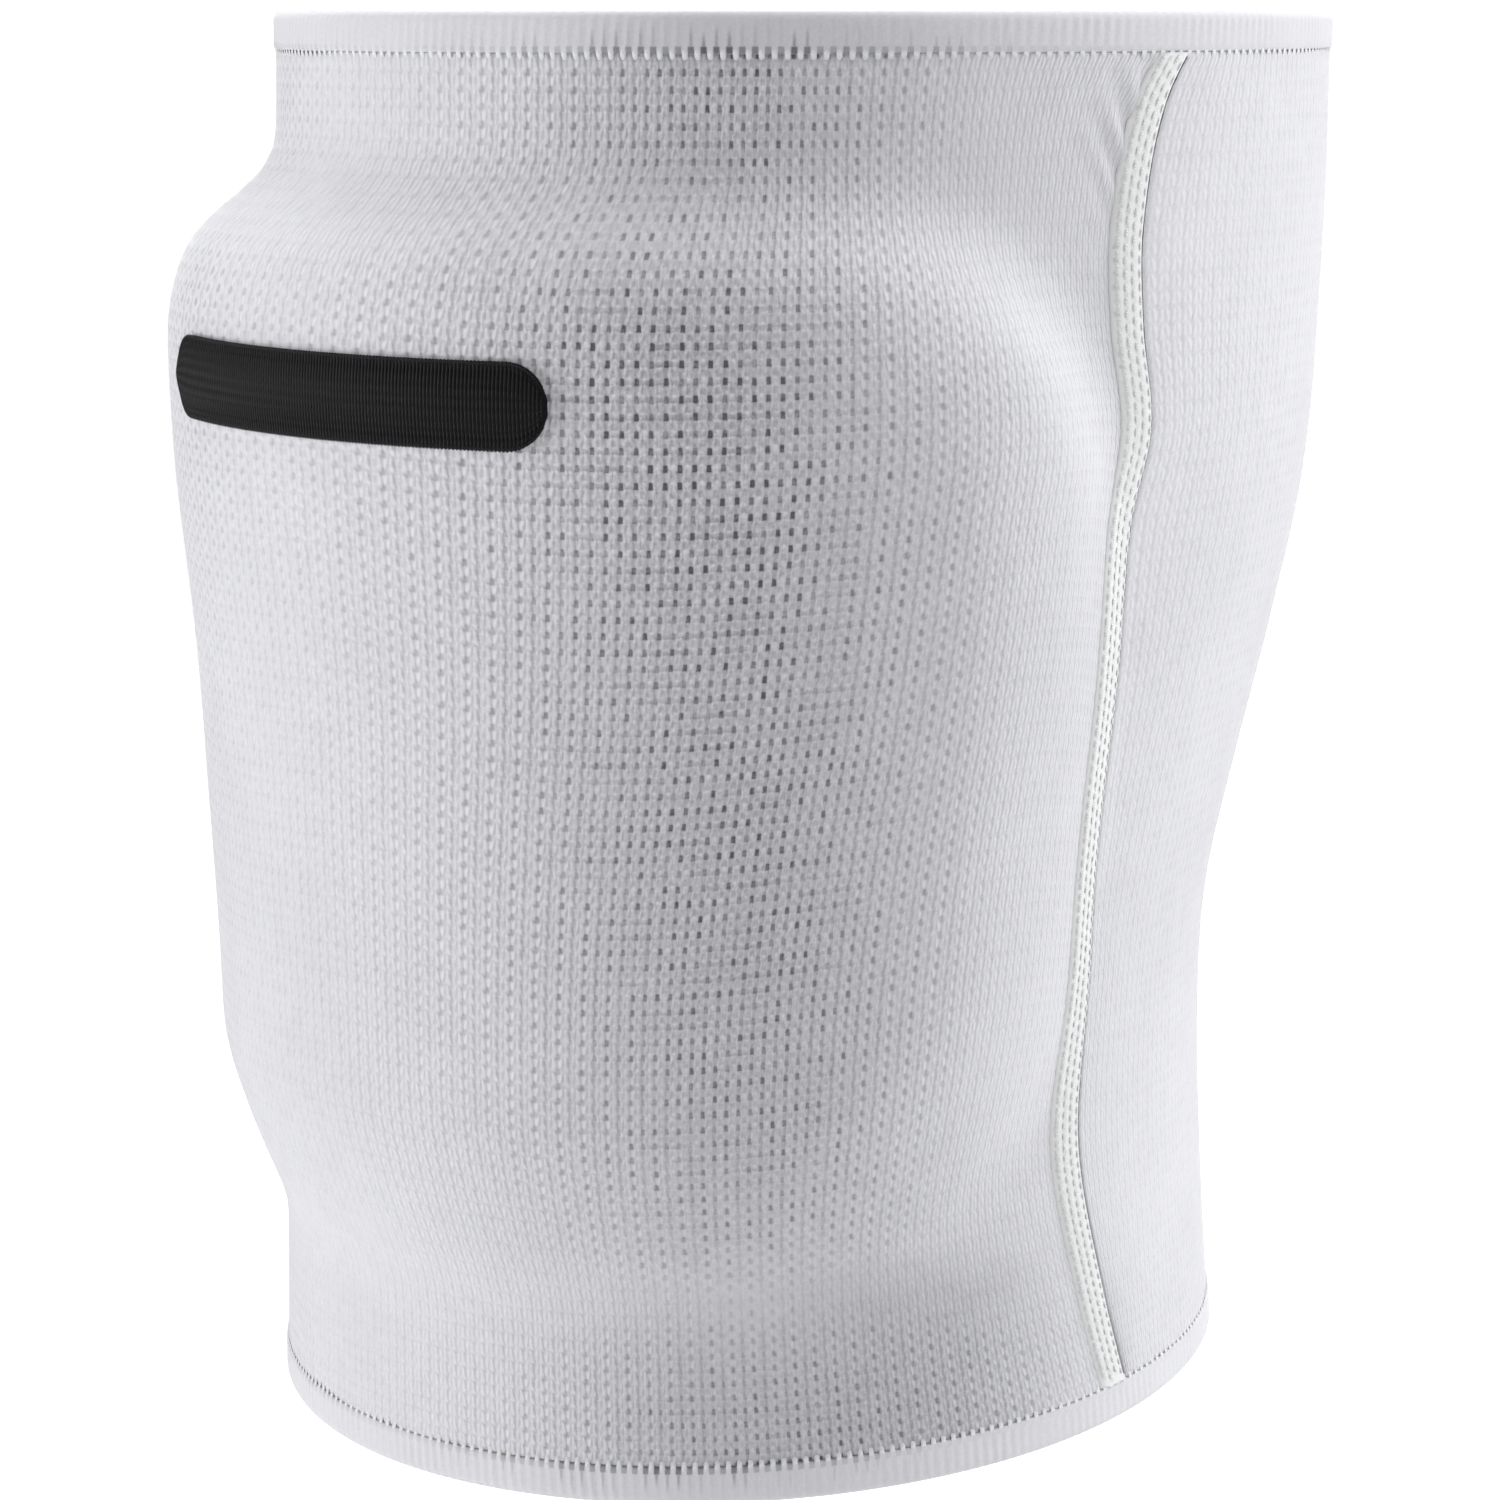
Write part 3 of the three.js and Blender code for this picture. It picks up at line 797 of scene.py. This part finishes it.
def near_whole(count, width):
    """1 where a count is whole, fading to 0 over width."""
    return np.exp(-(((count - np.round(count)) / width) ** 2))


def stitch_relief(across, down):
    """How far the outside sinks between the stitches and at their holes, in metres."""
    column = near_whole(across, 0.15)
    row = near_whole(down, 0.15)
    return -(GROOVE * column + 0.3 * GROOVE * row + DIP * column * row)


def panel_rows(courses_down):
    """The share of the sleeve's length for a number of rows down."""
    share = courses_down / COURSES
    share = share + ROW_DENSITY * share * (1 - share)
    return PANEL_TOP + (PANEL_BOTTOM - PANEL_TOP) * share


def row_sag(angle, courses_down):
    """How many rows the cloth sags on the flanks of the foam."""
    turn = np.hypot(np.minimum(np.abs(angle), 77), 6)
    wave = 1 - np.cos(np.radians(180 * (turn - SAG_FLANK) / SAG_WIDTH))
    middle = np.clip(courses_down / COURSES, 0, 1)
    return ROW_SAG * wave * np.sin(math.pi * middle) ** 2


def panel_place(flat, at_back):
    """Where a flat panel's points go: angle and down."""
    side = 2 * flat[:, 0] / WALES - 1
    courses = flat[:, 1]
    down = panel_rows(courses)
    trim = arc_angle(SEAM_WIDTH / 2 + FIT, down)
    edge = seam_angle(down)
    even = BACK_REACH if at_back else FRONT_REACH
    reach = (180 - edge if at_back else edge) - trim
    packed = side + (0 if at_back else SIDE_DENSITY) * side * (1 - np.abs(side))
    power = BACK_LEAN_POWER if at_back else LEAN_POWER
    angle = even * packed + (reach - even) * side * np.abs(side) ** power
    if at_back:
        return angle + 180, down
    return angle, panel_rows(courses - row_sag(angle, courses) * (1 - side ** 8))


def gathers(flat):
    """Small slanting folds in the front panel's top corners, where the seam is drawn under the hem."""
    side = np.minimum(flat[:, 0], WALES - flat[:, 0])
    rows = np.exp(-(((flat[:, 1] - GATHER_ROW) / GATHER_ROWS) ** 2))
    share = np.exp(-((side / GATHER_REACH) ** 2)) * rows
    return GATHER_DEPTH * share * np.cos(2 * math.pi * (flat[:, 1] / GATHER_PITCH + side / GATHER_REACH))


def panel_wrap(at_back):
    """The function that puts a flat panel on the leg."""
    def put_on(flat):
        angle, down = panel_place(flat, at_back)
        relief = SLACK_RELIEF + (1 - SLACK_RELIEF) * open_and_shade_here(angle, down)
        folds = 0 if at_back else gathers(flat)
        offset = flat[:, 2] * (KNIT_WALL + stitch_relief(flat[:, 0], flat[:, 1]) * relief + folds)
        return knit_point(angle, down, offset)
    return put_on


def panel_masks(at_back):
    """The function that gives a panel's masks: how far it is open, and painted shade in its border grooves
    and below the cushion.
    """
    def masks(flat):
        angle, down = panel_place(flat, at_back)
        opened = open_and_shade_here(angle, down)
        side = np.minimum(flat[:, 0], WALES - flat[:, 0])
        end = np.minimum(flat[:, 1], COURSES - flat[:, 1])
        # Painted shade in the grooves beside the seams and the hems.
        beside_seam = np.exp(-((side / 0.4) ** 2)) * 0.4
        beside_hem = np.exp(-((end / 0.25) ** 2)) * opened
        border = BORDER_SHADE * np.maximum(beside_seam, beside_hem)
        return {"stretch": opened, "painted_shade": border + painted_shade_below_pad(angle, down)}
    return masks


def knitted_panel(name, at_back, node):
    """One of the two panels."""
    bm = flat_cloth(WALES // CELL_ACROSS, COURSES // CELL_DOWN, WALES, COURSES, CELL_STEPS - 1)
    return dress(name, bm, panel_wrap(at_back), knit_finish, [node],
                 flat_map=lambda flat: flat[:, :2], masks=panel_masks(at_back))


front_knit = knitted_panel("front_knit", False, "front_panel")
back_knit = knitted_panel("back_knit", True, "back_panel")

# %% [markdown]
# A stitch that shows is a short arch of thread whose two ends go down into the cloth.
# Half a ring has that shape: a small circle of vertices is spun half a turn. One arch is made,
# its map is written once, and it is copied as often as the sewing machine made it.

# %% One stitch and its copies
QUARTER_TURN = Matrix.Rotation(math.pi / 2, 3, "Z")


def thread_arch(sides, steps, span, thickness, rise):
    """An arch of thread along x: span long, thickness wide, rise high, with closed ends."""
    bm = bmesh.new()
    radius = thickness / 2
    reach = span / 2 - radius
    bmesh.ops.create_circle(bm, segments=sides, radius=radius, matrix=Matrix.Translation((reach, 0, 0)))
    ring = bm.verts[:] + bm.edges[:]
    bmesh.ops.spin(bm, geom=ring, cent=(0, 0, 0), axis=(0, -1, 0), angle=math.pi, steps=steps)
    bmesh.ops.holes_fill(bm, edges=bm.edges, sides=0)
    layer = bm.loops.layers.uv.new("UVMap")
    for face in bm.faces:
        for loop in face.loops:
            x, y, z = loop.vert.co
            turn = math.atan2(z, x) / math.pi
            out = math.hypot(x, z) - reach
            loop[layer].uv = (turn * span / thickness / 3, 0.5 * math.atan2(out, y) / math.pi)
    bmesh.ops.scale(bm, vec=(1, 1, rise / (span / 2)), verts=bm.verts)
    return bm


def repeat(bm, count, step):
    """Copies the shape count times, each a step further than the last."""
    mesh = bpy.data.meshes.new("stitch")
    bm.to_mesh(mesh)
    bm.free()
    source = bpy.data.objects.new("stitch", mesh)
    bpy.context.scene.collection.objects.link(source)
    array = source.modifiers.new("copies", "ARRAY")
    array.count = count
    array.use_relative_offset = False
    array.use_constant_offset = True
    array.constant_offset_displace = step
    bm = bmesh.new()
    bm.from_object(source, bpy.context.evaluated_depsgraph_get())
    bpy.data.objects.remove(source)
    return bm


print("stitch helpers ready")

# %% [markdown]
# The side seams are flat-locked: the two panels meet and threads cover the join in a raised ribbon.
# The ribbon is flat on top with steep sides, so a thin dark line runs along each side of it.
# It stands highest beside the cushion, and it is lower at both ends, where it goes under the hems.

# %% The side seams
SEAM_RISE = 0.55 * MM
SEAM_SHOULDER = 0.14
SEAM_FLATNESS = 5
SEAM_STITCHES = 112
SEAM_COLUMNS = 32
SEAM_CUTS = 7
SEAM_ROWS = 164
# down, share of the rise
SEAM_HEIGHT = np.array([
    (0.0, 0.4), (0.08, 0.75), (0.2, 1.0), (0.45, 1.0),
    (0.65, 0.95), (0.76, 0.65), (0.9, 0.5), (1.0, 0.4),
])


def seam_top(across, down):
    """The height of the ribbon's outside above the leg, across it from -1 to 1."""
    crown = 1 - np.clip(np.abs(across), 0, 1) ** SEAM_FLATNESS
    rise = SEAM_RISE * read_table(SEAM_HEIGHT, 1, down)
    return KNIT_WALL * (1 - SEAM_SHOULDER + SEAM_SHOULDER * crown) + rise * crown


def seam_turn(side, across, down):
    """The angle of a place across a seam, from -1 at the front panel to 1 at the back panel."""
    return side * (seam_angle(down) + across * arc_angle(SEAM_WIDTH / 2, down))


def seam_wrap(side):
    """The function that puts a flat seam on the leg. x runs across from -1 to 1, y down and z through."""
    def put_on(flat):
        down = panel_rows(flat[:, 1] * COURSES)
        top = seam_top(flat[:, 0], down)
        return knit_point(seam_turn(side, flat[:, 0], down), down, flat[:, 2] * top)
    return put_on


def seam_map(flat):
    """The ribbon's own map: -1 to 1 across, and stitches along it."""
    return np.stack([flat[:, 0], flat[:, 1] * SEAM_STITCHES], axis=-1)


def seam_ribbon(name, side, node):
    """The raised ribbon over one seam."""
    bm = flat_cloth(SEAM_COLUMNS // (SEAM_CUTS + 1), SEAM_ROWS, 2, 1, 0)
    outside = [face for face in bm.faces if all(vert.co.z > 0.5 for vert in face.verts)]
    edges = {edge for face in outside for edge in face.edges}
    crossing = [edge for edge in edges if abs(edge.verts[0].co.y - edge.verts[1].co.y) < 1e-6]
    bmesh.ops.subdivide_edges(bm, edges=crossing, cuts=SEAM_CUTS)
    bmesh.ops.translate(bm, vec=(-1, 0, 0), verts=bm.verts)
    return dress(name, bm, seam_wrap(side), seam_finish, [node], flat_map=seam_map)


seam_right = seam_ribbon("side_seam_ribbon_right", 1, "side_seam_right")
seam_left = seam_ribbon("side_seam_ribbon_left", -1, "side_seam_left")

# %% [markdown]
# Four columns of thread run along each ribbon. Every stitch is about 1.4 mm long, and each column
# is half a stitch behind the last. The threads lie low, half sunk in the ribbon.

# %% The seam stitches
SEAM_THREAD = 0.42 * MM
SEAM_THREADS = 4
SEAM_THREAD_RISE = 0.3 * MM
SEAM_THREAD_SINK = 0.12 * MM


def seam_stitches(name, side):
    """Stitches along a ribbon. Flat: x across from -1 to 1, y along in stitches and z above the ribbon."""
    bm = thread_arch(6, 6, 0.84, SEAM_THREAD / (SEAM_WIDTH / 2), SEAM_THREAD_RISE)
    bmesh.ops.rotate(bm, cent=(0, 0, 0), matrix=QUARTER_TURN, verts=bm.verts)
    bmesh.ops.translate(bm, vec=(-SEAM_COLUMN * (SEAM_THREADS - 1) / 2, 0.5, 0), verts=bm.verts)
    bm = repeat(bm, SEAM_STITCHES - 1, (0, 1, 0))
    bm = repeat(bm, SEAM_THREADS // 2, (SEAM_COLUMN * 2, 0, 0))
    bm = repeat(bm, 2, (SEAM_COLUMN, 0.5, 0))

    def put_on(flat):
        down = panel_rows(flat[:, 1] / SEAM_STITCHES * COURSES)
        base = seam_top(flat[:, 0], down) - SEAM_THREAD_SINK
        return knit_point(seam_turn(side, flat[:, 0], down), down, base + flat[:, 2])

    return dress(name, bm, put_on, white_thread)


seam_threads = [seam_stitches("seam_stitches_right", 1), seam_stitches("seam_stitches_left", -1)]

# %% [markdown]
# Each end of the sleeve is a folded hem. Its section is a flat loop with a round fold at the free edge:
# a rectangle whose corners are bevelled. The section is drawn out into a straight strip and cut into ribs,
# and the strip then goes round the leg, where its two ends merge. Spinning it would do the same,
# but a spin of a thousand steps is slow to merge.

# %% The hems
HEM_WALL = 2.25 * MM
HEM_RIBS = 288
HEM_STEPS = 4
HEM_RIB_DEPTH = 0.07 * MM
HEM_FOLD = 0.45 * MM
HEM_FLANK = 38
HEM_SPREAD = 22


def hem_section():
    """The hem's section: x outwards and y in from the free edge."""
    bm = bmesh.new()
    bmesh.ops.create_grid(bm, x_segments=1, y_segments=1, size=0.5)
    bmesh.ops.scale(bm, vec=(HEM_WALL, HEM_HEIGHT, 1), verts=bm.verts)
    bmesh.ops.translate(bm, vec=(HEM_WALL / 2, HEM_HEIGHT / 2, 0), verts=bm.verts)
    free = [vert for vert in bm.verts if vert.co.y < HEM_HEIGHT / 2]
    inner = [vert for vert in bm.verts if vert.co.y > HEM_HEIGHT / 2]
    bmesh.ops.bevel(
        bm, geom=free, offset=HEM_WALL * 0.499, segments=6, profile=0.5, affect="VERTICES", material=-1
    )
    bmesh.ops.bevel(bm, geom=inner, offset=HEM_FOLD, segments=3, profile=0.5, affect="VERTICES", material=-1)
    bmesh.ops.delete(bm, geom=bm.faces[:], context="FACES_ONLY")
    long_edges = [edge for edge in bm.edges if edge.calc_length() > 1.5 * MM]
    bmesh.ops.subdivide_edges(bm, edges=long_edges, cuts=4)
    return bm


def hem_relief(angle, from_edge):
    """Ribs of uneven strength along the hem, in metres."""
    count = angle / 360 * HEM_RIBS + from_edge / MM * 0.04
    strength = 0.65 + 0.35 * np.sin(np.radians(angle) * 7 + 1.3) * np.sin(np.radians(angle) * 23)
    return HEM_RIB_DEPTH * strength * np.cos(2 * math.pi * count)


def hem_wrap(at_top):
    """Puts a straight hem on one end of the sleeve. x runs outwards, y in from the edge, z along in ribs."""
    def put_on(flat):
        angle = flat[:, 2] * 360 / HEM_RIBS + 180
        outward = np.clip(flat[:, 0] / HEM_WALL, 0, 1)
        offset = flat[:, 0] + outward * hem_relief(angle, flat[:, 1])
        inward = flat[:, 1] / SLEEVE_LENGTH
        return sleeve_point(angle, inward if at_top else 1 - inward, offset)
    return put_on


def hem_map(flat):
    """Ribs along the hem and millimetres in from the free edge."""
    return np.stack([flat[:, 2], flat[:, 1] / MM], axis=-1)


def hem_pull_and_shade(angle):
    """How far the hem is pulled open, from 0 to 1: most at the flanks, hardly behind. It also sets how dark
    the grooves are painted, with paler painted shade on the lit left flank.
    """
    flank = np.exp(-(((np.abs(from_front(angle)) - HEM_FLANK) / HEM_SPREAD) ** 2))
    return lit_left_factor(angle) * (0.08 + 0.84 * flank)


def hem_masks(at_top):
    """The hem's masks: how far it is pulled open, and painted shade: the top hem darker than the bottom one,
    most on the flanks.
    """
    def masks(flat):
        pull = hem_pull_and_shade(flat[:, 2] * 360 / HEM_RIBS + 180)
        return {"stretch": pull, "painted_shade": 0.07 + 0.16 * pull ** 2 if at_top else 0.02 + 0.02 * pull}
    return masks


def hem(name, at_top, node):
    """One of the two hems."""
    bm = hem_section()
    drawn = bmesh.ops.extrude_edge_only(bm, edges=bm.edges[:])
    bmesh.ops.translate(bm, vec=(0, 0, HEM_RIBS), verts=verts_of(drawn))
    long_edges = [edge for edge in bm.edges if edge.calc_length() > HEM_RIBS / 2]
    bmesh.ops.subdivide_edges(bm, edges=long_edges, cuts=HEM_RIBS * HEM_STEPS - 1)
    return dress(name, bm, hem_wrap(at_top), hem_finish, [node],
                 flat_map=hem_map, masks=hem_masks(at_top))


top_hem = hem("top_hem", True, "top_welt")
bottom_hem = hem("bottom_hem", False, "bottom_welt")

# %% [markdown]
# A cover stitch holds each hem down. Short threads cross from the hem onto the panel, and the needle
# leaves a dark hole between every two of them.

# %% The hem stitches
HEM_THREAD = 0.48
HEM_STITCH = 1.3 * MM
HEM_STITCH_RISE = 0.2 * MM


def hem_stitches(name, at_top):
    """Stitches round a hem. Flat: x along in stitches, y in from the edge and z above the cloth."""
    bm = thread_arch(6, 6, 1, HEM_THREAD, HEM_STITCH_RISE)
    bmesh.ops.rotate(bm, cent=(0, 0, 0), matrix=QUARTER_TURN, verts=bm.verts)
    bmesh.ops.scale(bm, vec=(1, HEM_STITCH, 1), verts=bm.verts)
    bmesh.ops.translate(bm, vec=(0.5, HEM_HEIGHT + 0.1 * MM, 0), verts=bm.verts)
    bm = repeat(bm, HEM_RIBS, (1, 0, 0))

    def put_on(flat):
        inward = flat[:, 1] / SLEEVE_LENGTH
        down = inward if at_top else 1 - inward
        step = np.clip((flat[:, 1] - HEM_HEIGHT + 0.6 * MM) / (1.2 * MM), 0, 1)
        base = HEM_WALL * (1 - step) + KNIT_WALL * step
        angle = flat[:, 0] * 360 / HEM_RIBS
        rise = flat[:, 2] * (0.3 + 0.7 * hem_pull_and_shade(angle))
        return knit_point(angle, down, base + rise - 0.08 * MM)

    return dress(name, bm, put_on, white_thread)


hem_threads = [hem_stitches("hem_stitches_top", True), hem_stitches("hem_stitches_bottom", False)]

# %% [markdown]
# The foam cushion lies between the front panel and the leg, faced with thin smooth cloth.
# A square block of even cells is drawn in to the pad's squarish oval, and it starts a little thin. A spun
# disc would have the same outline, but its cells crowd at the middle, and simulated cloth puckers there.
# Then the cover is simulated as cloth with air pressure inside, so that it swells between its edges as
# a real cushion does. Each point may move only a little, which keeps the cushion clear of the front panel.

# %% The foam cushion
FOAM_GAP = 0.9 * MM
FOAM_SLACK = 0.6 * MM
FOAM_COLUMNS = 44
FOAM_ROWS = 32
FOAM_PRESSURE = 1
FOAM_FRAMES = 20
FOAM_SWELL = 0.55 * MM


def foam_block():
    """A closed square block from -1 to 1 and thickness 1, in even cells."""
    bm = flat_cloth(FOAM_COLUMNS, FOAM_ROWS, 2, 2, 0)
    bmesh.ops.translate(bm, vec=(-1, -1, 0), verts=bm.verts)
    return bm


def foam_wrap(flat):
    """Draws the block in to the pad's outline and lays it on the leg."""
    square = np.maximum(np.abs(flat[:, 0]), np.abs(flat[:, 1]))
    oval = (np.abs(flat[:, 0]) ** PAD_CORNER + np.abs(flat[:, 1]) ** PAD_CORNER) ** (1 / PAD_CORNER)
    stretch = PAD_EDGE * square / np.maximum(oval, 1e-9)
    down = PAD_TOP + (PAD_BOTTOM - PAD_TOP) * (1 - flat[:, 1] * stretch) / 2
    angle = flat[:, 0] * stretch * arc_angle(PAD_WIDTH / 2, down)
    room = np.minimum(pad_lift(angle, down), knit_lift(angle, down))
    thickness = room - FOAM_GAP - 2 * FOAM_SLACK
    return sleeve_point(angle, down, FOAM_SLACK + flat[:, 2] * thickness)


def swell(piece, pressure, frames, most):
    """Simulates the piece as cloth with air inside and keeps the result. No point moves more than most."""
    start = read_places(piece.data)
    cloth = piece.modifiers.new("swell", "CLOTH")
    cloth.settings.use_pressure = True
    cloth.settings.uniform_pressure_force = pressure
    cloth.settings.effector_weights.gravity = 0
    cloth.point_cache.frame_start = 1
    cloth.point_cache.frame_end = frames
    for frame in range(1, frames + 1):
        bpy.context.scene.frame_set(frame)
    swollen = read_places(piece.evaluated_get(bpy.context.evaluated_depsgraph_get()).data)
    piece.modifiers.remove(cloth)
    bpy.context.scene.frame_set(1)
    move = swollen - start
    length = np.linalg.norm(move, axis=1)
    move *= np.minimum(1, most / np.maximum(length, 1e-9))[:, None]
    piece.data.vertices.foreach_set("co", (start + move).ravel())
    piece.data.update()
    print("swelling in mm: mean", round(length.mean() * 1000, 2), "most", round(length.max() * 1000, 2))


foam = dress("knee_foam", foam_block(), foam_wrap, lining_finish, ["foam_pad"],
             flat_map=lambda flat: flat[:, :2] * 60)
swell(foam, FOAM_PRESSURE, FOAM_FRAMES, FOAM_SWELL)
knit_tree = BVHTree.FromObject(front_knit, bpy.context.evaluated_depsgraph_get())
clearance = min(knit_tree.find_nearest(vert.co)[3] for vert in foam.data.vertices)
print("least clearance between cushion and knit", round(clearance * 1000, 2), "mm")
rounded = foam.modifiers.new("rounded", "SUBSURF")
rounded.levels = 1
rounded.render_levels = 1

# %% [markdown]
# A plain bar stands on the front in black satin stitch: threads side by side, each crossing the bar from
# edge to edge. Under them is a low block, which keeps the bar closed where two threads part.

# %% The satin bar
BAR_LENGTH = 68 * MM
BAR_HEIGHT = 10 * MM
BAR_THICKNESS = 0.8 * MM
BAR_CENTRE = 43 * MM
BAR_END = 0.97
BAR_GAP = 0.06 * MM
SATIN_PITCH = 0.5 * MM


def bar_half(along):
    """Half the bar's height at a distance from its middle: the ends are round."""
    end = BAR_LENGTH / 2
    round_end = BAR_HEIGHT / 2
    past = np.clip((np.abs(along) - (end - round_end)) / round_end, 0, 1)
    return round_end * np.sqrt(1 - BAR_END * past ** 2)


def bar_wrap(base):
    """Puts the bar on the panel. Flat: x along in metres, y from -1 to 1 across, z above base."""
    def put_on(flat):
        along = flat[:, 0]
        down = down_at(BAR_CENTRE + flat[:, 1] * bar_half(along))
        radius = read_table(LEG_SECTIONS, 2, down) * LEG_DEPTH / 2 + KNIT_WALL
        radius = radius + knit_lift(np.zeros_like(down), down)
        return knit_point(np.degrees(along / radius), down, KNIT_WALL + base + flat[:, 2])
    return put_on


bar_bm = flat_cloth(120, 12, BAR_LENGTH, 2, 0)
bmesh.ops.translate(bar_bm, vec=(-BAR_LENGTH / 2, -1, 0), verts=bar_bm.verts)
bmesh.ops.scale(bar_bm, vec=(1, 0.97, BAR_THICKNESS), verts=bar_bm.verts)
bar = dress("embroidered_bar_base", bar_bm, bar_wrap(BAR_GAP), black_thread,
            ["embroidered_bar"], flat_map=lambda flat: flat[:, :2] * (400, 1))

satin_count = int(BAR_LENGTH / SATIN_PITCH)
satin_bm = thread_arch(6, 8, 2.0, 0.5, 0.45 * MM)
bmesh.ops.rotate(satin_bm, cent=(0, 0, 0), matrix=QUARTER_TURN, verts=satin_bm.verts)
bmesh.ops.scale(satin_bm, vec=(SATIN_PITCH / 0.5 * 1.05, 1.03, 1), verts=satin_bm.verts)
bmesh.ops.translate(satin_bm, vec=(-(satin_count - 1) / 2 * SATIN_PITCH, 0, 0), verts=satin_bm.verts)
satin_bm = repeat(satin_bm, satin_count, (SATIN_PITCH, 0, 0))
satin_wrap = bar_wrap(BAR_GAP + BAR_THICKNESS * 0.8)
satin = dress("satin_threads", satin_bm, satin_wrap, black_thread)

# %% [markdown]
# The two panels are knitted cloth that stretches over the knee, and the foam is the cushion under the
# front one. All three are built above.

# %% Soft pieces
print("soft pieces: front_knit, back_knit, knee_foam")

# %% [markdown]
# The picture was taken on white. The middle of the pad, which faces the camera, is the darkest, and it
# gets brighter to both sides and to the top. So most of the light comes from both sides, square to the
# camera's line, with one light above, one behind the top edge and a weak one in front. The floor glows
# a little from below.
# A light's place is told from the camera: turned to the right of it, and raised, in degrees.

# %% The studio
FLOOR_LIGHT = 0.46
WORLD_LIGHT = 0.01
LIGHT_DISTANCE = 1.3
LIGHT_SIZE = 0.9
# name, turn, height, watts
LIGHTS = [
    ("light_right", 90, 0, 7),
    ("light_right_behind", 115, 0, 7),
    ("light_right_above", 90, 40, 8.5),
    ("light_left", -90, 0, 17),
    ("light_above", 0, 88, 10),
    ("light_front", 0, 5, 7.5),
    ("light_behind", 180, 50, 15.5),
]


def stage_finish(name, colour, glow):
    """A plain stage material: glow is how brightly it lights the object. The picture shows it white."""
    material = bpy.data.materials.new(name)
    material.use_nodes = True
    tree = material.node_tree
    shader = tree.nodes["Principled BSDF"]
    seen = add(tree, "ShaderNodeLightPath").outputs["Is Camera Ray"]
    feed(tree, shader.inputs["Emission Strength"], maths(tree, "MULTIPLY_ADD", seen, 1 - glow, glow))
    shader.inputs["Base Color"].default_value = colour
    shader.inputs["Roughness"].default_value = 0.9
    shader.inputs["Specular IOR Level"].default_value = 0
    shader.inputs["Emission Color"].default_value = (1, 1, 1, 1)
    return material


def soft_light(name, turn, height, power):
    """A square soft light that looks at the knee pad."""
    data = bpy.data.lights.new(name, "AREA")
    data.shape = "SQUARE"
    data.size = LIGHT_SIZE
    data.energy = power
    light = bpy.data.objects.new(name, data)
    way = TURN + math.radians(turn)
    rise = math.radians(height)
    towards = Vector((math.sin(way) * math.cos(rise), -math.cos(way) * math.cos(rise), math.sin(rise)))
    light.location = towards * LIGHT_DISTANCE
    light.rotation_euler = towards.to_track_quat("Z", "Y").to_euler()
    light.visible_camera = False
    bpy.context.scene.collection.objects.link(light)


for name, turn, height, power in LIGHTS:
    soft_light(name, turn, height, power)

world = bpy.data.worlds.new("white world")
world.use_nodes = True
sky = world.node_tree
dim = sky.nodes["Background"]
dim.inputs["Color"].default_value = (1, 1, 1, 1)
dim.inputs["Strength"].default_value = WORLD_LIGHT
white = add(sky, "ShaderNodeBackground", (1, 1, 1, 1), 1.05)
seen = add(sky, "ShaderNodeLightPath")
both = add(sky, "ShaderNodeMixShader", seen.outputs["Is Camera Ray"], dim.outputs[0], white.outputs[0])
sky.links.new(both.outputs[0], sky.nodes["World Output"].inputs["Surface"])
bpy.context.scene.world = world

floor_bm = bmesh.new()
bmesh.ops.create_grid(floor_bm, x_segments=1, y_segments=1, size=4, matrix=Matrix.Translation((0, 0, -0.35)))
floor_mesh = bpy.data.meshes.new("floor")
floor_bm.to_mesh(floor_mesh)
floor_bm.free()
floor_mesh.materials.append(stage_finish("pale_floor", (0.3, 0.3, 0.3, 1), FLOOR_LIGHT))
floor = bpy.data.objects.new("floor", floor_mesh)
bpy.context.scene.collection.objects.link(floor)
bpy.context.scene.view_settings.view_transform = "Standard"
print("studio ready")
